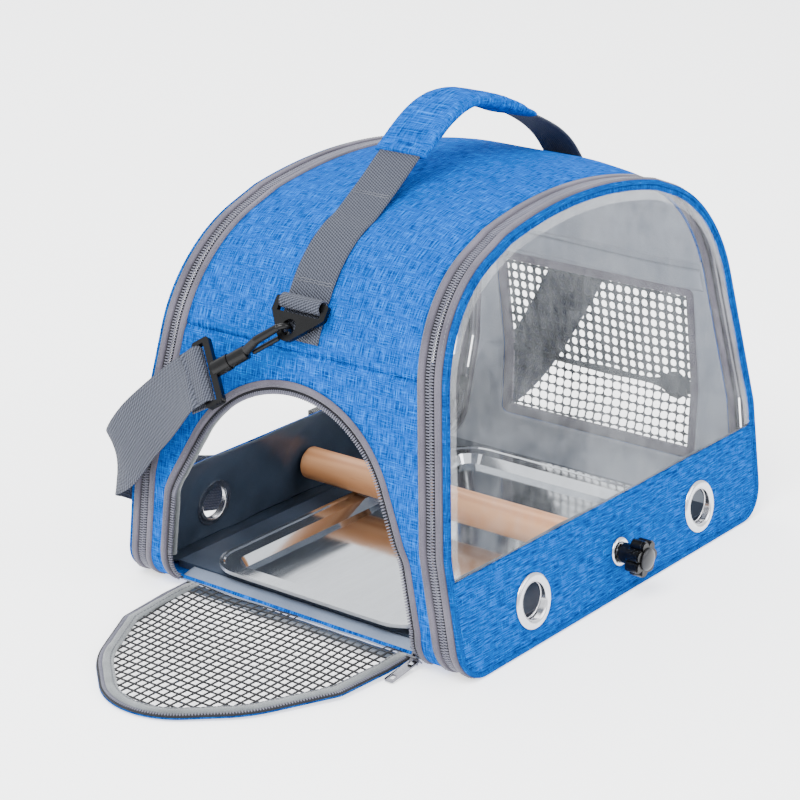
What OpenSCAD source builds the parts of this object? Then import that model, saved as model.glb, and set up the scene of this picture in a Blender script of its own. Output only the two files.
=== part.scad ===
/* [Cabin] */
// Widest outside length, at the waist
body_w = 340; // [320:1:380]
// Height from the floor to the crown
body_h = 250; // [240:1:280]
// Depth of the fabric wrap at the floor
wrap_d = 225; // [210:1:260]
// Lean of the front and back panels towards each other
panel_lean = 8.4; // [4:0.2:10]
// Radius of the four bottom edges
corner_r = 23; // [18:1:28]
// How much the ends draw in from the waist to the floor
foot_draw = 2; // [0:0.5:6]
// Height of the waist, the widest line
waist_z = 75; // [60:1:90]
// Radius of the rounded shoulders
shoulder_r = 87.5; // [75:0.5:95]
// How much the shoulders draw in from the waist
shoulder_draw = 14; // [8:0.5:18]
// Drop from the crown to the centre of the shoulder radius
shoulder_drop = 98.5; // [90:0.5:105]
// Radius of the slightly domed crown
crown_r = 350; // [300:10:500]
// Half width over which the crown follows that radius
crown_half = 80; // [70:1:85]
// Thickness of the padded walls
wall_t = 3.2; // [2:0.2:4]
// Thickness of the inner lining cloth
lining_t = 0.6; // [0.4:0.1:1]
// Drop from the crown to the seam between end wall and top
seam_drop = 79; // [70:1:90]

/* [Floor] */
// Thickness of the padded floor cloth
floor_t = 2.4; // [1.5:0.1:3]
// Thickness of the stiff base board
board_t = 4.8; // [3:0.2:5]
// Gap left between the board and the end walls
board_gap = 6; // [4:1:12]

/* [Arch zips] */
// Width of each grey binding
binding_w = 4.5; // [3:0.5:6]
// How far a binding stands proud of the wall
binding_proud = 0.8; // [0.4:0.1:1.2]
// Width of one half of the zip, tape and coil together
zip_half = 2.9; // [2.4:0.1:3.5]
// Open line between the two coils, where the slider's post runs
zip_slot = 1.6; // [1.4:0.1:2]
// Thickness of the coil
coil_t = 2.2; // [1.6:0.1:2.4]
// Thickness of the zip tape
tape_t = 0.8; // [0.5:0.1:1]
// Width of the piping round each panel
piping_w = 3; // [2:0.5:4]

/* [Panels] */
// Thickness of the panel cloth
cloth_t = 2; // [1.2:0.1:2.4]
// Height of the lower cloth band
band_h = 61; // [54:1:75]
// Width of the cloth border round the window
border_w = 9; // [6:1:14]
// Thickness of the clear window sheet
window_t = 0.5; // [0.3:0.1:1]
// Distance of each eyelet from the middle
eyelet_x = 93; // [70:1:105]
// Height of the eyelets and of the perch
eyelet_z = 27.2; // [24:0.2:30]
// Outer radius of an eyelet
eyelet_r = 17.2; // [15:0.2:19]
// Radius of the hole through an eyelet
eyelet_bore = 11.5; // [9:0.5:12.5]
// Outer radius of the middle grommet
grommet_r = 9.2; // [8:0.2:10]
// Radius of the hole through the middle grommet
grommet_bore = 4.6; // [4.2:0.1:5]
// Thickness of the rolled metal rims
rim_t = 1.6; // [1:0.1:2]

/* [Perch] */
// Radius of the wooden perch
perch_r = 11; // [8:0.5:11]
// Radius of the screw in its end
screw_r = 3; // [2:0.1:3.2]
// Length of the knob's neck
neck_l = 8; // [6:0.5:10]
// Radius over the knob's lobes
knob_r = 12; // [10:0.5:14]
// Thickness of the knob's head
knob_t = 9; // [7:0.5:10]
// Number of lobes round the knob
knob_lobes = 7; // [5:1:9]

/* [Doorway] */
// Radius of the arched doorway, over its binding
door_r = 84; // [78:1:86]
// Drop from the seam to the top of that arch
door_drop = 18; // [17:1:25]
// Half width of the doorway below its arch
door_side = 95; // [88:1:96]
// Half width of the doorway at the floor, over its binding
door_foot = 101; // [95:1:103]
// Width of the doorway's binding
door_binding_w = 4.2; // [3:0.2:5]
// Width of the doorway's half of the zip
door_zip_w = 4.2; // [3:0.2:5]
// Gap between the closed door and the doorway
door_gap = 1.6; // [1.4:0.1:2]
// How far the door's tip reaches past its arch, over the curved wall
door_nose = 8; // [0:0.5:9]
// Height of the door's hinge line
hinge_z = 4.2; // [3.8:0.1:4.6]
// Droop of the open door
door_droop = 0.9; // [0.5:0.1:0.9]
// Half thickness of the door's edge
door_half_t = 1.4; // [1:0.1:1.5]
// Width of the soft binding on the door
door_edge_w = 9; // [6:1:12]
// Spacing of the cords in the door's net
net_pitch = 9.2; // [9:0.2:14]
// Thickness of the net's cords
net_cord = 1; // [0.6:0.1:1.4]

/* [End net] */
// Half width of the net window in the other end
net_half_w = 80; // [60:1:84]
// Lower edge of that net window
net_low = 26; // [20:1:34]
// Drop from the seam to the upper edge of that net window
net_drop = 21; // [16:1:50]
// Width of the binding round it
net_edge_w = 7; // [5:1:10]

/* [Tray] */
// Length of the tray over its rim
tray_l = 272; // [240:1:280]
// Width of the tray over its rim
tray_w = 166; // [140:1:168]
// Height of the tray
tray_h = 7.8; // [6:0.2:7.8]
// Sheet thickness of the tray
tray_t = 0.6; // [0.4:0.1:0.8]
// Width of the tray's flat rim
tray_rim = 12; // [8:1:16]
// Outer corner radius of the tray
tray_r = 26; // [20:1:34]
// Distance from the doorway's hinge line to the tray
tray_in = 8; // [6:1:30]

/* [Handle and strap] */
// Width of the handle webbing
webbing_w = 30; // [25:1:32]
// Thickness of the webbing
webbing_t = 1.8; // [1.2:0.1:2]
// Width of the padded grip
grip_w = 37.5; // [34:0.5:40]
// Thickness of the padded grip
grip_t = 9; // [7:0.5:11]
// Width of the shoulder strap
strap_w = 38; // [30:1:40]
// Thickness of the shoulder strap
strap_t = 1.6; // [1.2:0.1:2]
// Thickness of the plastic rings and strap frames
plastic_t = 4; // [3:0.5:5]

/* [Hidden] */

BLUE = [0.20, 0.55, 0.86];
GREY = [0.70, 0.69, 0.72];
COIL = [0.42, 0.42, 0.48];
WEB = [0.66, 0.68, 0.71];
SLATE = [0.30, 0.36, 0.42];
LINER = [0.60, 0.62, 0.65];
BLACK = [0.12, 0.12, 0.13];
STEEL = [0.80, 0.81, 0.83];
WOOD = [0.87, 0.68, 0.50];
MESH = [0.20, 0.21, 0.23];

front = -1;
back = 1;
far = 400;
clear = 0.3;
lean_run = tan(panel_lean);
shoulder_x = body_w/2 - shoulder_draw - shoulder_r;
shoulder_z = body_h - shoulder_drop;
foot_x = body_w/2 - foot_draw - corner_r;
seam_z = body_h - seam_drop;

// Layers of the arch zip, counted outwards from the edge of the wrap
zip_1 = binding_w;
slot_1 = zip_1 + zip_half;
slot_2 = slot_1 + zip_slot;
zip_2 = slot_2 + zip_half;
cloth_1 = zip_2 + binding_w;
cloth_2 = cloth_1 + cloth_t;
panel_out = cloth_1 + piping_w;
panel_hinge_y = wrap_d/2 + panel_out;
zip_in = 0.6;

// Doorway
hinge_x = foot_x + sqrt(corner_r*corner_r - (corner_r - hinge_z)*(corner_r - hinge_z));
door_zip_in = door_binding_w;
door_open_in = door_binding_w + door_zip_w;
door_edge_in = door_open_in + door_gap;
door_bulge = 22;
door_base = door_foot - door_edge_in - 2.9;
door_mid = seam_z - door_drop - door_r;
net_top = seam_z - net_drop;

// Handle: the webbing follows the shoulders, then stands clear of the crown
bar_angle = 30.6;
web_end = bar_angle + 2.5;
loop_in = 3.3;
loop_out = loop_in + webbing_t*0.75;
bar_off = shoulder_r + loop_out + 0.2;
bar_x = shoulder_x + bar_off*cos(bar_angle);
bar_z = shoulder_z + bar_off*sin(bar_angle);
web_r = shoulder_r + webbing_t/2 + 0.15;
left_leave = 71;
right_leave = 50;
// Free part of the handle: along the carrier and above the crown, in half widths of the body
handle_free = [
    [-0.5059, -0.0518], [-0.4294, -0.0118], [-0.3765, 0.05], [-0.3235, 0.1235], [-0.2588, 0.2],
    [-0.1706, 0.2588], [-0.0588, 0.2853], [0.0588, 0.2794], [0.1765, 0.2441], [0.2941, 0.1912],
    [0.4059, 0.1235], [0.5059, 0.0588], [0.6059, -0.0088], [0.6941, -0.0824]
];
grip_from = 3;
grip_to = 10.6;

// Rings and hooks: each hook runs from its ring's eye, in the plane of the ring
ring_tilt = 34;
ring_drop = 15.5;
ring_eye_in = 5;
ring_eye_y = 3;
ring_t = 3;
hook_l = strap_w*29/19;
hook_turn = [40, 62];

function shoulder_pt(side, r, a) = [side*(shoulder_x + r*cos(a)), shoulder_z + r*sin(a)];
function mid_y(side, off, z) = side*(wrap_d/2 + off - z*lean_run);

// The arch seen from the front, drawn in by t all round
module arch(t = 0) {
    hull() for (s = [-1, 1]) {
        translate([s*foot_x, corner_r]) circle(r = corner_r - t, $fn = 40);
        translate([s*(body_w/2 - corner_r), waist_z]) circle(r = corner_r - t, $fn = 40);
        translate([s*shoulder_x, shoulder_z]) circle(r = shoulder_r - t, $fn = 96);
        intersection() {
            translate([0, body_h - crown_r]) circle(r = crown_r - t, $fn = 360);
            translate([-crown_half, body_h - crown_half]) square([2*crown_half, crown_half]);
        }
    }
}

module arch_band(t0, t1) {
    difference() {
        arch(t0);
        arch(t1);
    }
}

// Stands a drawing of the X-Z plane up and carries it along Y
module along_y(w = 2*far) {
    rotate([90, 0, 0]) linear_extrude(height = w, center = true) children();
}

// Carries a drawing of the Y-Z plane along X, from x0 to x1
module along_x(x0, x1) {
    translate([x0, 0, 0]) rotate([90, 0, 90]) linear_extrude(height = x1 - x0) children();
}

// Leaning layer from a to b outside the wrap's edge
module layer(side, a, b) {
    c = cos(panel_lean);
    translate([0, side*wrap_d/2, 0]) rotate([side*panel_lean, 0, 0])
        translate([-far, side > 0 ? a*c : -b*c, -far]) cube([2*far, (b - a)*c, 3*far]);
}

module wrap_shell(t0, t1) {
    intersection() {
        along_y() arch_band(t0, t1);
        layer(front, -far, 0);
        layer(back, -far, 0);
    }
}

// One hoop of the arch zip: open along the floor between the bottom corners
module hoop(side, a, b, t0, t1) {
    intersection() {
        along_y() difference() {
            arch_band(t0, t1);
            translate([-foot_x, -1]) square([2*foot_x, corner_r]);
        }
        layer(side, a, b);
    }
}

module door_arch(t = 0, low = -20) {
    intersection() {
        hull() {
            translate([0, door_mid]) circle(r = door_r - t, $fn = 96);
            for (s = [-1, 1]) translate([s*(door_side - door_bulge), door_mid - 7])
                circle(r = door_bulge - t, $fn = 48);
            translate([-door_foot + t, 0]) square([2*(door_foot - t), corner_r + 3]);
        }
        translate([-far, low]) square([2*far, far]);
    }
}

// Part of the left end wall that follows the doorway's outline
module doorway_ring(e0, e1, t0, t1) {
    intersection() {
        along_y() difference() {
            arch_band(t0, t1);
            translate([-foot_x, -far]) square([far*2, far*3]);
        }
        along_x(-far, 0) difference() {
            door_arch(e0, hinge_z - 1);
            door_arch(e1, -20);
        }
    }
}

// Local frame of a panel: X along the carrier, Z up the panel, outer cloth face at Y = 0
module on_panel(side, off = cloth_2) {
    translate([0, side*(wrap_d/2 + off), 0]) rotate([side*panel_lean, 0, 0]) children();
}

module panel_sheet(side, a, b) {
    intersection() {
        along_y() children();
        layer(side, a, b);
    }
}

module eyelet_holes(side, grow = 1) {
    for (s = [-1, 1]) on_panel(side) translate([s*eyelet_x, 0, eyelet_z/cos(panel_lean)])
        rotate([90, 0, 0]) cylinder(r = eyelet_bore + grow + clear, h = far, center = true, $fn = 64);
    if (side == front) on_panel(side) translate([0, 0, eyelet_z/cos(panel_lean)])
        rotate([90, 0, 0]) cylinder(r = grommet_bore + grow + clear, h = far, center = true, $fn = 48);
}

// Rolled metal eyelet: crowned face, barrel through the cloth and flat washer behind
module eyelet(r_out, r_in, depth) {
    rotate_extrude($fn = 72) {
        difference() {
            translate([(r_out + r_in)/2, 0]) scale([(r_out - r_in)/2, rim_t]) circle(r = 1, $fn = 32);
            translate([0, -far]) square([far, far]);
        }
        translate([r_in, -depth]) square([1, depth + rim_t*0.4]);
        translate([r_in, -depth - 0.6]) square([(r_out - r_in)*0.72, 0.6]);
    }
}

module eyelet_set(side) {
    depth = cloth_t + lining_t;
    turn = side == front ? 90 : -90;
    for (s = [-1, 1]) on_panel(side) translate([s*eyelet_x, 0, eyelet_z/cos(panel_lean)])
        rotate([turn, 0, 0]) eyelet(eyelet_r, eyelet_bore, depth);
    if (side == front) on_panel(side) translate([0, 0, eyelet_z/cos(panel_lean)])
        rotate([turn, 0, 0]) eyelet(grommet_r, grommet_bore, depth);
}

module floor_cloth() {
    d = wrap_d/2 + cloth_1 - lining_t - clear;
    color(BLUE) translate([-foot_x, -d, 0]) cube([2*foot_x, 2*d, floor_t]);
}

module base_board() {
    d = wrap_d/2 - 2;
    color(SLATE) translate([0, 0, floor_t]) linear_extrude(height = board_t)
        translate([-foot_x + board_gap/2, -d]) square([2*foot_x - board_gap, 2*d]);
}

module left_end_wall() {
    color(BLUE) difference() {
        intersection() {
            wrap_shell(0, wall_t);
            translate([-far, -far, 0]) cube([far - foot_x, 2*far, seam_z]);
        }
        along_x(-far, 0) door_arch(0, hinge_z - 1);
    }
}

module net_window(t = 0) {
    translate([-net_half_w + t, net_low + t]) square([2*(net_half_w - t), net_top - net_low - 2*t]);
}

module right_end_wall() {
    color(BLUE) difference() {
        intersection() {
            wrap_shell(0, wall_t);
            translate([foot_x, -far, 0]) cube([far, 2*far, seam_z]);
        }
        along_x(0, far) net_window(0);
    }
}

module top_cover() {
    color(BLUE) intersection() {
        wrap_shell(0, wall_t);
        translate([-far, -far, seam_z]) cube([2*far, 2*far, far]);
    }
}

module cabin_lining() {
    color(LINER) difference() {
        intersection() {
            wrap_shell(wall_t, wall_t + lining_t);
            translate([-far, -far, corner_r]) cube([2*far, 2*far, far]);
        }
        along_x(-far, 0) door_arch(0);
        along_x(0, far) net_window(-1);
    }
}

module front_hoop_binding() {
    color(GREY) hoop(front, 0, zip_1, -binding_proud, wall_t);
}

module back_hoop_binding() {
    color(GREY) hoop(back, 0, zip_1, -binding_proud, wall_t);
}

// Tape along the layer, with the coil standing on its free edge
module zip_hoop(side, a, b, coil_first) {
    edge = coil_first ? [a, a + zip_half*0.6] : [b - zip_half*0.6, b];
    color(COIL) {
        hoop(side, a, b, zip_in + coil_t/2 - tape_t/2, zip_in + coil_t/2 + tape_t/2);
        hoop(side, edge[0], edge[1], zip_in, zip_in + coil_t);
    }
}

module front_hoop_zip() {
    zip_hoop(front, zip_1, slot_1, false);
}

module back_hoop_zip() {
    zip_hoop(back, zip_1, slot_1, false);
}

module doorway_binding() {
    color(GREY) doorway_ring(0, door_zip_in, -binding_proud, wall_t);
}

module doorway_zip() {
    color(COIL) {
        doorway_ring(door_zip_in, door_open_in - door_zip_w/4, tape_t*1.25, tape_t*2.25);
        doorway_ring(door_open_in - door_zip_w/2, door_open_in, clear, clear + coil_t);
    }
}

// Net of square gaps, drawn flat: w wide from -w/2, and from 0 to h
module net_holes(w, h) {
    nx = floor(w/net_pitch);
    nz = floor(h/net_pitch);
    gap = net_pitch - net_cord;
    for (i = [0:nx - 1], j = [0:nz - 1])
        translate([(i - nx/2 + 0.5)*net_pitch - gap/2, (h - nz*net_pitch)/2 + (j + 0.5)*net_pitch - gap/2])
            square(gap);
}

module right_net() {
    color(MESH) intersection() {
        along_y() difference() {
            arch_band(wall_t/2 - net_cord/2, wall_t/2 + net_cord/2);
            translate([-far, -far]) square([far, 2*far]);
        }
        along_x(0, far) difference() {
            net_window(net_edge_w);
            translate([0, net_low + net_edge_w])
                net_holes(2*(net_half_w - net_edge_w), net_top - net_low - 2*net_edge_w);
        }
    }
}

module right_net_binding() {
    color(GREY) intersection() {
        along_y() difference() {
            arch_band(0, wall_t);
            translate([-far, -far]) square([far, 2*far]);
        }
        along_x(0, far) difference() {
            net_window(0);
            net_window(net_edge_w);
        }
    }
}

// Points of the handle from the left ring's bar over to the right one
function handle_route() = concat(
    [for (k = [0:5]) shoulder_pt(-1, web_r + (k > 4 ? 0.2 : 0), web_end + k*(left_leave - web_end)/5)],
    [for (p = handle_free) [p[0]*body_w/2, body_h + p[1]*body_w/2]],
    [shoulder_pt(1, web_r + 2.6, right_leave + 5), shoulder_pt(1, web_r + 0.4, right_leave)],
    [for (k = [2:-1:0]) shoulder_pt(1, web_r, web_end + k*(right_leave - 5.6 - web_end)/2)]
);

// Catmull-Rom curve through a list of points
function spline_at(p, i, t) = let (
        a = p[max(i - 1, 0)], b = p[i], c = p[min(i + 1, len(p) - 1)], d = p[min(i + 2, len(p) - 1)]
    ) 0.5*(2*b + (c - a)*t + (2*a - 5*b + 4*c - d)*t*t + (3*b - a - 3*c + d)*t*t*t);
function smooth(p, n) = concat(
    [for (i = [0:len(p) - 2], k = [0:n - 1]) spline_at(p, i, k/n)], [p[len(p) - 1]]
);
function unit(v) = v/norm(v);
function tangent(p, i) = unit(p[min(i + 1, len(p) - 1)] - p[max(i - 1, 0)]);

// Flat strip of thickness t along a route in the plane
module strip(p, t) {
    m = len(p) - 1;
    n = [for (i = [0:m]) let (u = tangent(p, i)) [-u[1], u[0]]];
    polygon(concat([for (i = [0:m]) p[i] + n[i]*t/2], [for (i = [m:-1:0]) p[i] - n[i]*t/2]));
}

handle_points = smooth(handle_route(), 3);
first_free = 3*(6 + grip_from);
last_free = round(3*(6 + grip_to));
grip_points = [for (i = [first_free:last_free]) handle_points[i]];

module handle_webbing() {
    color(WEB) along_y(webbing_w) strip(handle_points, webbing_t);
}

module handle_grip() {
    color(BLUE) difference() {
        along_y(grip_w) strip(grip_points, grip_t);
        along_y(webbing_w + 2*clear) strip(handle_points, webbing_t + 2*clear);
    }
}

module ring_loops() {
    color(WEB) for (s = [-1, 1]) {
        along_y(webbing_w) difference() {
            union() {
                translate([s*bar_x, bar_z]) circle(r = loop_out, $fn = 48);
                strip([for (a = [17:6:29]) shoulder_pt(s, shoulder_r + 0.15 + webbing_t/2, a)], webbing_t);
            }
            translate([s*bar_x, bar_z]) circle(r = loop_in, $fn = 48);
        }
    }
}

// Ribbon of width w and thickness t along stations [centre, width direction]
module ribbon(stations, w, t) {
    m = len(stations) - 1;
    c = [for (s = stations) s[0]];
    rows = [for (i = [0:m]) let (
            u = tangent(c, i),
            wd = unit(stations[i][1] - u*(u*stations[i][1])),
            nd = cross(u, wd)
        ) [c[i] + wd*w/2 + nd*t/2, c[i] - wd*w/2 + nd*t/2, c[i] - wd*w/2 - nd*t/2, c[i] + wd*w/2 - nd*t/2]];
    pts = [for (r = rows, q = r) q];
    sides = [for (i = [0:m - 1], k = [0:3]) let (a = 4*i + k, b = 4*i + (k + 1)%4) [a, b, b + 4, a + 4]];
    polyhedron(pts, concat([[3, 2, 1, 0]], [[4*m, 4*m + 1, 4*m + 2, 4*m + 3]], sides), convexity = 6);
}

// Directions of a hook's frame, and a point given in it
function ring_dir(s, v) = [0, s, 0]*v[0] + [-s*sin(ring_tilt), 0, cos(ring_tilt)]*v[1]
    + [s*cos(ring_tilt), 0, sin(ring_tilt)]*v[2];
function hook_dir(s, v) = let (a = s < 0 ? 180 + hook_turn[0] : -hook_turn[1])
    ring_dir(s, [v[0]*cos(a) - v[1]*sin(a), v[0]*sin(a) + v[1]*cos(a), v[2]]);
function hook_pt(s, v) = [s*bar_x, 0, bar_z] + ring_dir(s, [s*ring_eye_y, -ring_drop, 0]) + hook_dir(s, v);

// The strap's end: from its stitched tail, through the frame's slot and back over the bar
strap_end = [[18, -1.4], [11, -2.7], [6.6, -3.6], [4, -3.6], [2.2, -2.2], [2, 0], [2.2, 2.2], [4, 3.6],
    [6.6, 3.6], [11, 2.7], [18, 1.4]];
function end_rows(s) = [for (p = strap_end) [hook_pt(s, [hook_l + p[0], 0, p[1]]), hook_dir(s, [0, s, 0])]];

// Shoulder strap: each row is a point, in half sizes of the body and in height, and the direction of the
// strap's width there
strap_rows = [
    [[-1.0647, 0.7822, 122], [0.1, 0.56, 0.82]],
    [[-1.0647, 0.9422, 104], [0, 0.5, 0.86]],
    [[-1.0529, 1.0756, 85], [0, 0.35, 0.94]],
    [[-1, 1.1733, 75], [0.2, 0.1, 0.97]],
    [[-0.9, 1.2267, 66], [0.3, 0, 0.95]],
    [[-0.7412, 1.2533, 51], [0.3, 0, 0.95]],
    [[-0.5412, 1.28, 35], [0.25, 0, 0.97]],
    [[-0.2941, 1.3067, 24], [0.1, 0, 1]],
    [[0, 1.3244, 22], [0, 0, 1]],
    [[0.2941, 1.3333, 23.6], [0, 0, 1]],
    [[0.5882, 1.3422, 22], [0, 0, 1]],
    [[0.8235, 1.3156, 20.5], [0, 0, 1]],
    [[0.9765, 1.2356, 21.5], [0, -0.1, 1]],
    [[1.0647, 1.0756, 26], [0, 0.2, 0.98]],
    [[1.1, 0.8889, 37], [0, 0.5, 0.87]],
    [[1.1176, 0.7111, 58], [-0.05, 0.72, 0.69]],
    [[1.1353, 0.5511, 86], [-0.1, 0.83, 0.55]]
];
function strap_at(p) = [p[0]*body_w/2, p[1]*wrap_d/2, p[2]];
function reversed(v) = [for (i = [len(v) - 1:-1:0]) v[i]];

strap_stations = let (
        rows = concat(end_rows(-1), [for (r = strap_rows) [strap_at(r[0]), r[1]]], reversed(end_rows(1))),
        c = smooth([for (r = rows) r[0]], 3),
        w = smooth([for (r = rows) r[1]], 3)
    ) [for (i = [0:len(c) - 1]) [c[i], w[i]]];

module shoulder_strap() {
    color(WEB) ribbon(strap_stations, strap_w, strap_t);
}

// Three-bar adjuster, upright behind the carrier: the strap runs behind its outer bars and over the middle one
module strap_adjuster() {
    bar = strap_w*0.095;
    l = strap_w*0.71;
    gap = strap_t/2 + 0.6;
    color(BLACK) translate(strap_at(strap_rows[9][0])) {
        for (s = [-1, 1]) {
            translate([-l/2, -gap - 2, s*(strap_w/2 + 2.4) - 1.7]) cube([l, 2*gap + 4, 3.4]);
            translate([s*(l - bar)/2 - bar/2, gap, -strap_w/2 - 1.5]) cube([bar, 2, strap_w + 3]);
        }
        translate([-bar/2, -gap - 2, -strap_w/2 - 1.5]) cube([bar, 2, strap_w + 3]);
    }
}

module panel_face(t = 0) {
    arch(piping_w + t);
}

module band_area() {
    intersection() {
        panel_face(0);
        translate([-far, 0]) square([2*far, band_h]);
    }
}

module window_area(t = 0) {
    intersection() {
        arch(piping_w + border_w + t);
        translate([-far, band_h]) square([2*far, far]);
    }
}

module border(side) {
    color(BLUE) panel_sheet(side, cloth_1, cloth_2) difference() {
        intersection() {
            panel_face(0);
            translate([-far, band_h]) square([2*far, far]);
        }
        window_area(0);
    }
}

module band(side) {
    color(BLUE) difference() {
        panel_sheet(side, cloth_1, cloth_2) band_area();
        eyelet_holes(side);
    }
}

module band_lining(side) {
    color(SLATE) difference() {
        panel_sheet(side, cloth_1 - lining_t, cloth_1) intersection() {
            arch(wall_t + clear);
            translate([-far, 0]) square([2*far, band_h]);
        }
        eyelet_holes(side);
    }
}

module window(side) {
    mid = (cloth_1 + cloth_2)/2;
    color([0.9, 0.93, 0.95, 0.4]) panel_sheet(side, mid - window_t/2, mid + window_t/2) window_area(0);
}

module piping(side) {
    color(BLUE) panel_sheet(side, cloth_1, panel_out) arch_band(0, piping_w);
}

module panel_binding(side) {
    color(GREY) hoop(side, zip_2, cloth_1, -binding_proud, wall_t);
}

module front_border() {
    border(front);
}

module front_band() {
    band(front);
}

module front_window() {
    window(front);
}

module front_piping() {
    piping(front);
}

module front_panel_binding() {
    panel_binding(front);
}

module front_panel_zip() {
    zip_hoop(front, slot_2, zip_2, true);
}

module front_band_lining() {
    band_lining(front);
}

module front_eyelets() {
    color(STEEL) eyelet_set(front);
}

module back_border() {
    border(back);
}

module back_band() {
    band(back);
}

module back_window() {
    window(back);
}

module back_piping() {
    piping(back);
}

module back_panel_binding() {
    panel_binding(back);
}

module back_panel_zip() {
    zip_hoop(back, slot_2, zip_2, true);
}

module back_band_lining() {
    band_lining(back);
}

module back_eyelets() {
    color(STEEL) eyelet_set(back);
}

// Perch, held at the front by the screw and knob; its far end stops just short of the back band
perch_front = mid_y(front, cloth_1 - lining_t - 0.6 - clear, eyelet_z + perch_r);
perch_back = mid_y(back, cloth_1 - lining_t - 1.2, eyelet_z + perch_r);
knob_seat = mid_y(front, cloth_2 + rim_t + clear, eyelet_z - grommet_r*0.5);
screw_in = 18;
screw_out = 11;

module perch() {
    color(WOOD) translate([0, perch_back, eyelet_z]) rotate([90, 0, 0]) difference() {
        union() {
            translate([0, 0, 1]) cylinder(r = perch_r, h = perch_back - perch_front - 2, $fn = 96);
            cylinder(r1 = perch_r - 1, r2 = perch_r, h = 1, $fn = 96);
            translate([0, 0, perch_back - perch_front - 1])
                cylinder(r1 = perch_r, r2 = perch_r - 1, h = 1, $fn = 96);
        }
        translate([0, 0, perch_back - perch_front - screw_in])
            cylinder(r = screw_r, h = screw_in + 1, $fn = 48);
    }
}

module perch_screw() {
    color(STEEL) translate([0, perch_front + screw_in - 0.5, eyelet_z]) rotate([90, 0, 0])
        cylinder(r = screw_r, h = screw_in + (perch_front - knob_seat) + screw_out, $fn = 48);
}

module perch_knob() {
    lobe = knob_r*0.3;
    top = neck_l + knob_t;
    color(BLACK) translate([0, knob_seat, eyelet_z]) rotate([90, 0, 0]) difference() {
        union() {
            cylinder(r = grommet_r - 2.8, h = neck_l + 1, $fn = 48);
            translate([0, 0, neck_l]) linear_extrude(height = knob_t - 1) knob_outline(0);
            translate([0, 0, top - 1.01]) linear_extrude(height = 1.01) knob_outline(0.7);
            translate([0, 0, top - 0.5]) cylinder(r1 = knob_r - lobe - 1, r2 = knob_r*0.45, h = 1.9, $fn = 72);
        }
        translate([0, 0, -1]) cylinder(r = screw_r + 0.08, h = screw_out + 2, $fn = 48);
    }
}

module knob_outline(t = 0) {
    lobe = knob_r*0.3;
    union() {
        circle(r = knob_r - lobe - t, $fn = 72);
        for (i = [0:knob_lobes - 1]) rotate(i*360/knob_lobes)
            translate([knob_r - lobe - 0.4, 0]) circle(r = lobe + 0.4 - t, $fn = 40);
    }
}

// Door panel, laid out open: local X runs out from the hinge line, local Z is its face
module on_door() {
    translate([-hinge_x, 0, hinge_z]) rotate([0, -door_droop, 0]) rotate([0, 0, 180]) children();
}

// Door outline in its own plane, X away from the hinge line
module door_outline(t = 0) {
    nose = (door_r - door_edge_in)*0.68;
    intersection() {
        hull() {
            rotate([0, 0, -90]) translate([0, -hinge_z]) door_arch(door_edge_in + t);
            translate([door_mid + door_r - door_edge_in - hinge_z + door_nose - nose, 0]) circle(r = nose - t, $fn = 64);
        }
        translate([0.6 + t, -door_base + t]) square([far, 2*(door_base - t)]);
    }
}

module door_layer(z0, z1) {
    color(GREY) on_door() translate([0, 0, z0]) linear_extrude(height = z1 - z0) children();
}

module door_net() {
    w = 2*(door_foot - door_edge_in - door_edge_w);
    h = door_mid + door_r - door_edge_in - hinge_z + door_nose - 2*door_edge_w;
    color(MESH) on_door() translate([0, 0, -net_cord/2]) linear_extrude(height = net_cord) difference() {
        door_outline(door_edge_w);
        translate([door_edge_w, 0]) rotate([0, 0, -90]) net_holes(w, h);
    }
}

module door_binding() {
    color(LINER) on_door() translate([0, 0, -door_half_t]) linear_extrude(height = 2*door_half_t)
        difference() {
            door_outline(3.4);
            door_outline(door_edge_w);
        }
}

module door_zip() {
    color(COIL) on_door() translate([0, 0, -0.2]) linear_extrude(height = door_half_t) difference() {
        door_outline(0);
        door_outline(3.4);
        square([8, 2*far], center = true);
    }
}

module door_rim() {
    color(BLUE) on_door() translate([0, 0, -door_half_t]) linear_extrude(height = door_half_t - 0.2)
        difference() {
            door_outline(0);
            door_outline(3.4);
            square([8, 2*far], center = true);
        }
}

// Profile of the tray from its floor up the drawn wall to the beaded rim, outwards along X
module tray_profile() {
    wall_run = 3;
    in = tray_rim + wall_run;
    polygon([
        [-in - 4, 0], [-in, 0], [-tray_rim, tray_h - tray_t - 0.8], [-3, tray_h - tray_t - 0.8],
        [-2, tray_h - tray_t], [-0.6, tray_h - tray_t], [0, tray_h - 2.2], [0, tray_h], [-2.4, tray_h],
        [-3.4, tray_h - 0.8], [-tray_rim - tray_t*0.8, tray_h - 0.8], [-in - tray_t*0.8, tray_t],
        [-in - 4, tray_t]
    ]);
}

tray_x = -hinge_x + tray_in + tray_l/2;
tray_z = floor_t + board_t + 0.4;

module tray() {
    l = tray_l/2 - tray_r;
    w = tray_w/2 - tray_r;
    in = tray_rim + 7;
    color(STEEL) translate([tray_x, 0, tray_z]) {
        for (q = [0:3]) rotate([0, 0, 90*q]) {
            a = q%2 == 0 ? l : w;
            b = q%2 == 0 ? w : l;
            translate([a, b, 0]) rotate_extrude(angle = 90, $fn = 96) translate([tray_r, 0]) tray_profile();
            translate([a + tray_r, b, 0]) rotate([90, 0, 0]) linear_extrude(height = 2*b) tray_profile();
        }
        linear_extrude(height = tray_t) {
            square([2*l, 2*(w + tray_r - in)], center = true);
            square([2*(l + tray_r - in), 2*w], center = true);
            for (sx = [-1, 1], sy = [-1, 1]) translate([sx*l, sy*w]) circle(r = tray_r - in, $fn = 96);
        }
    }
}

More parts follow.
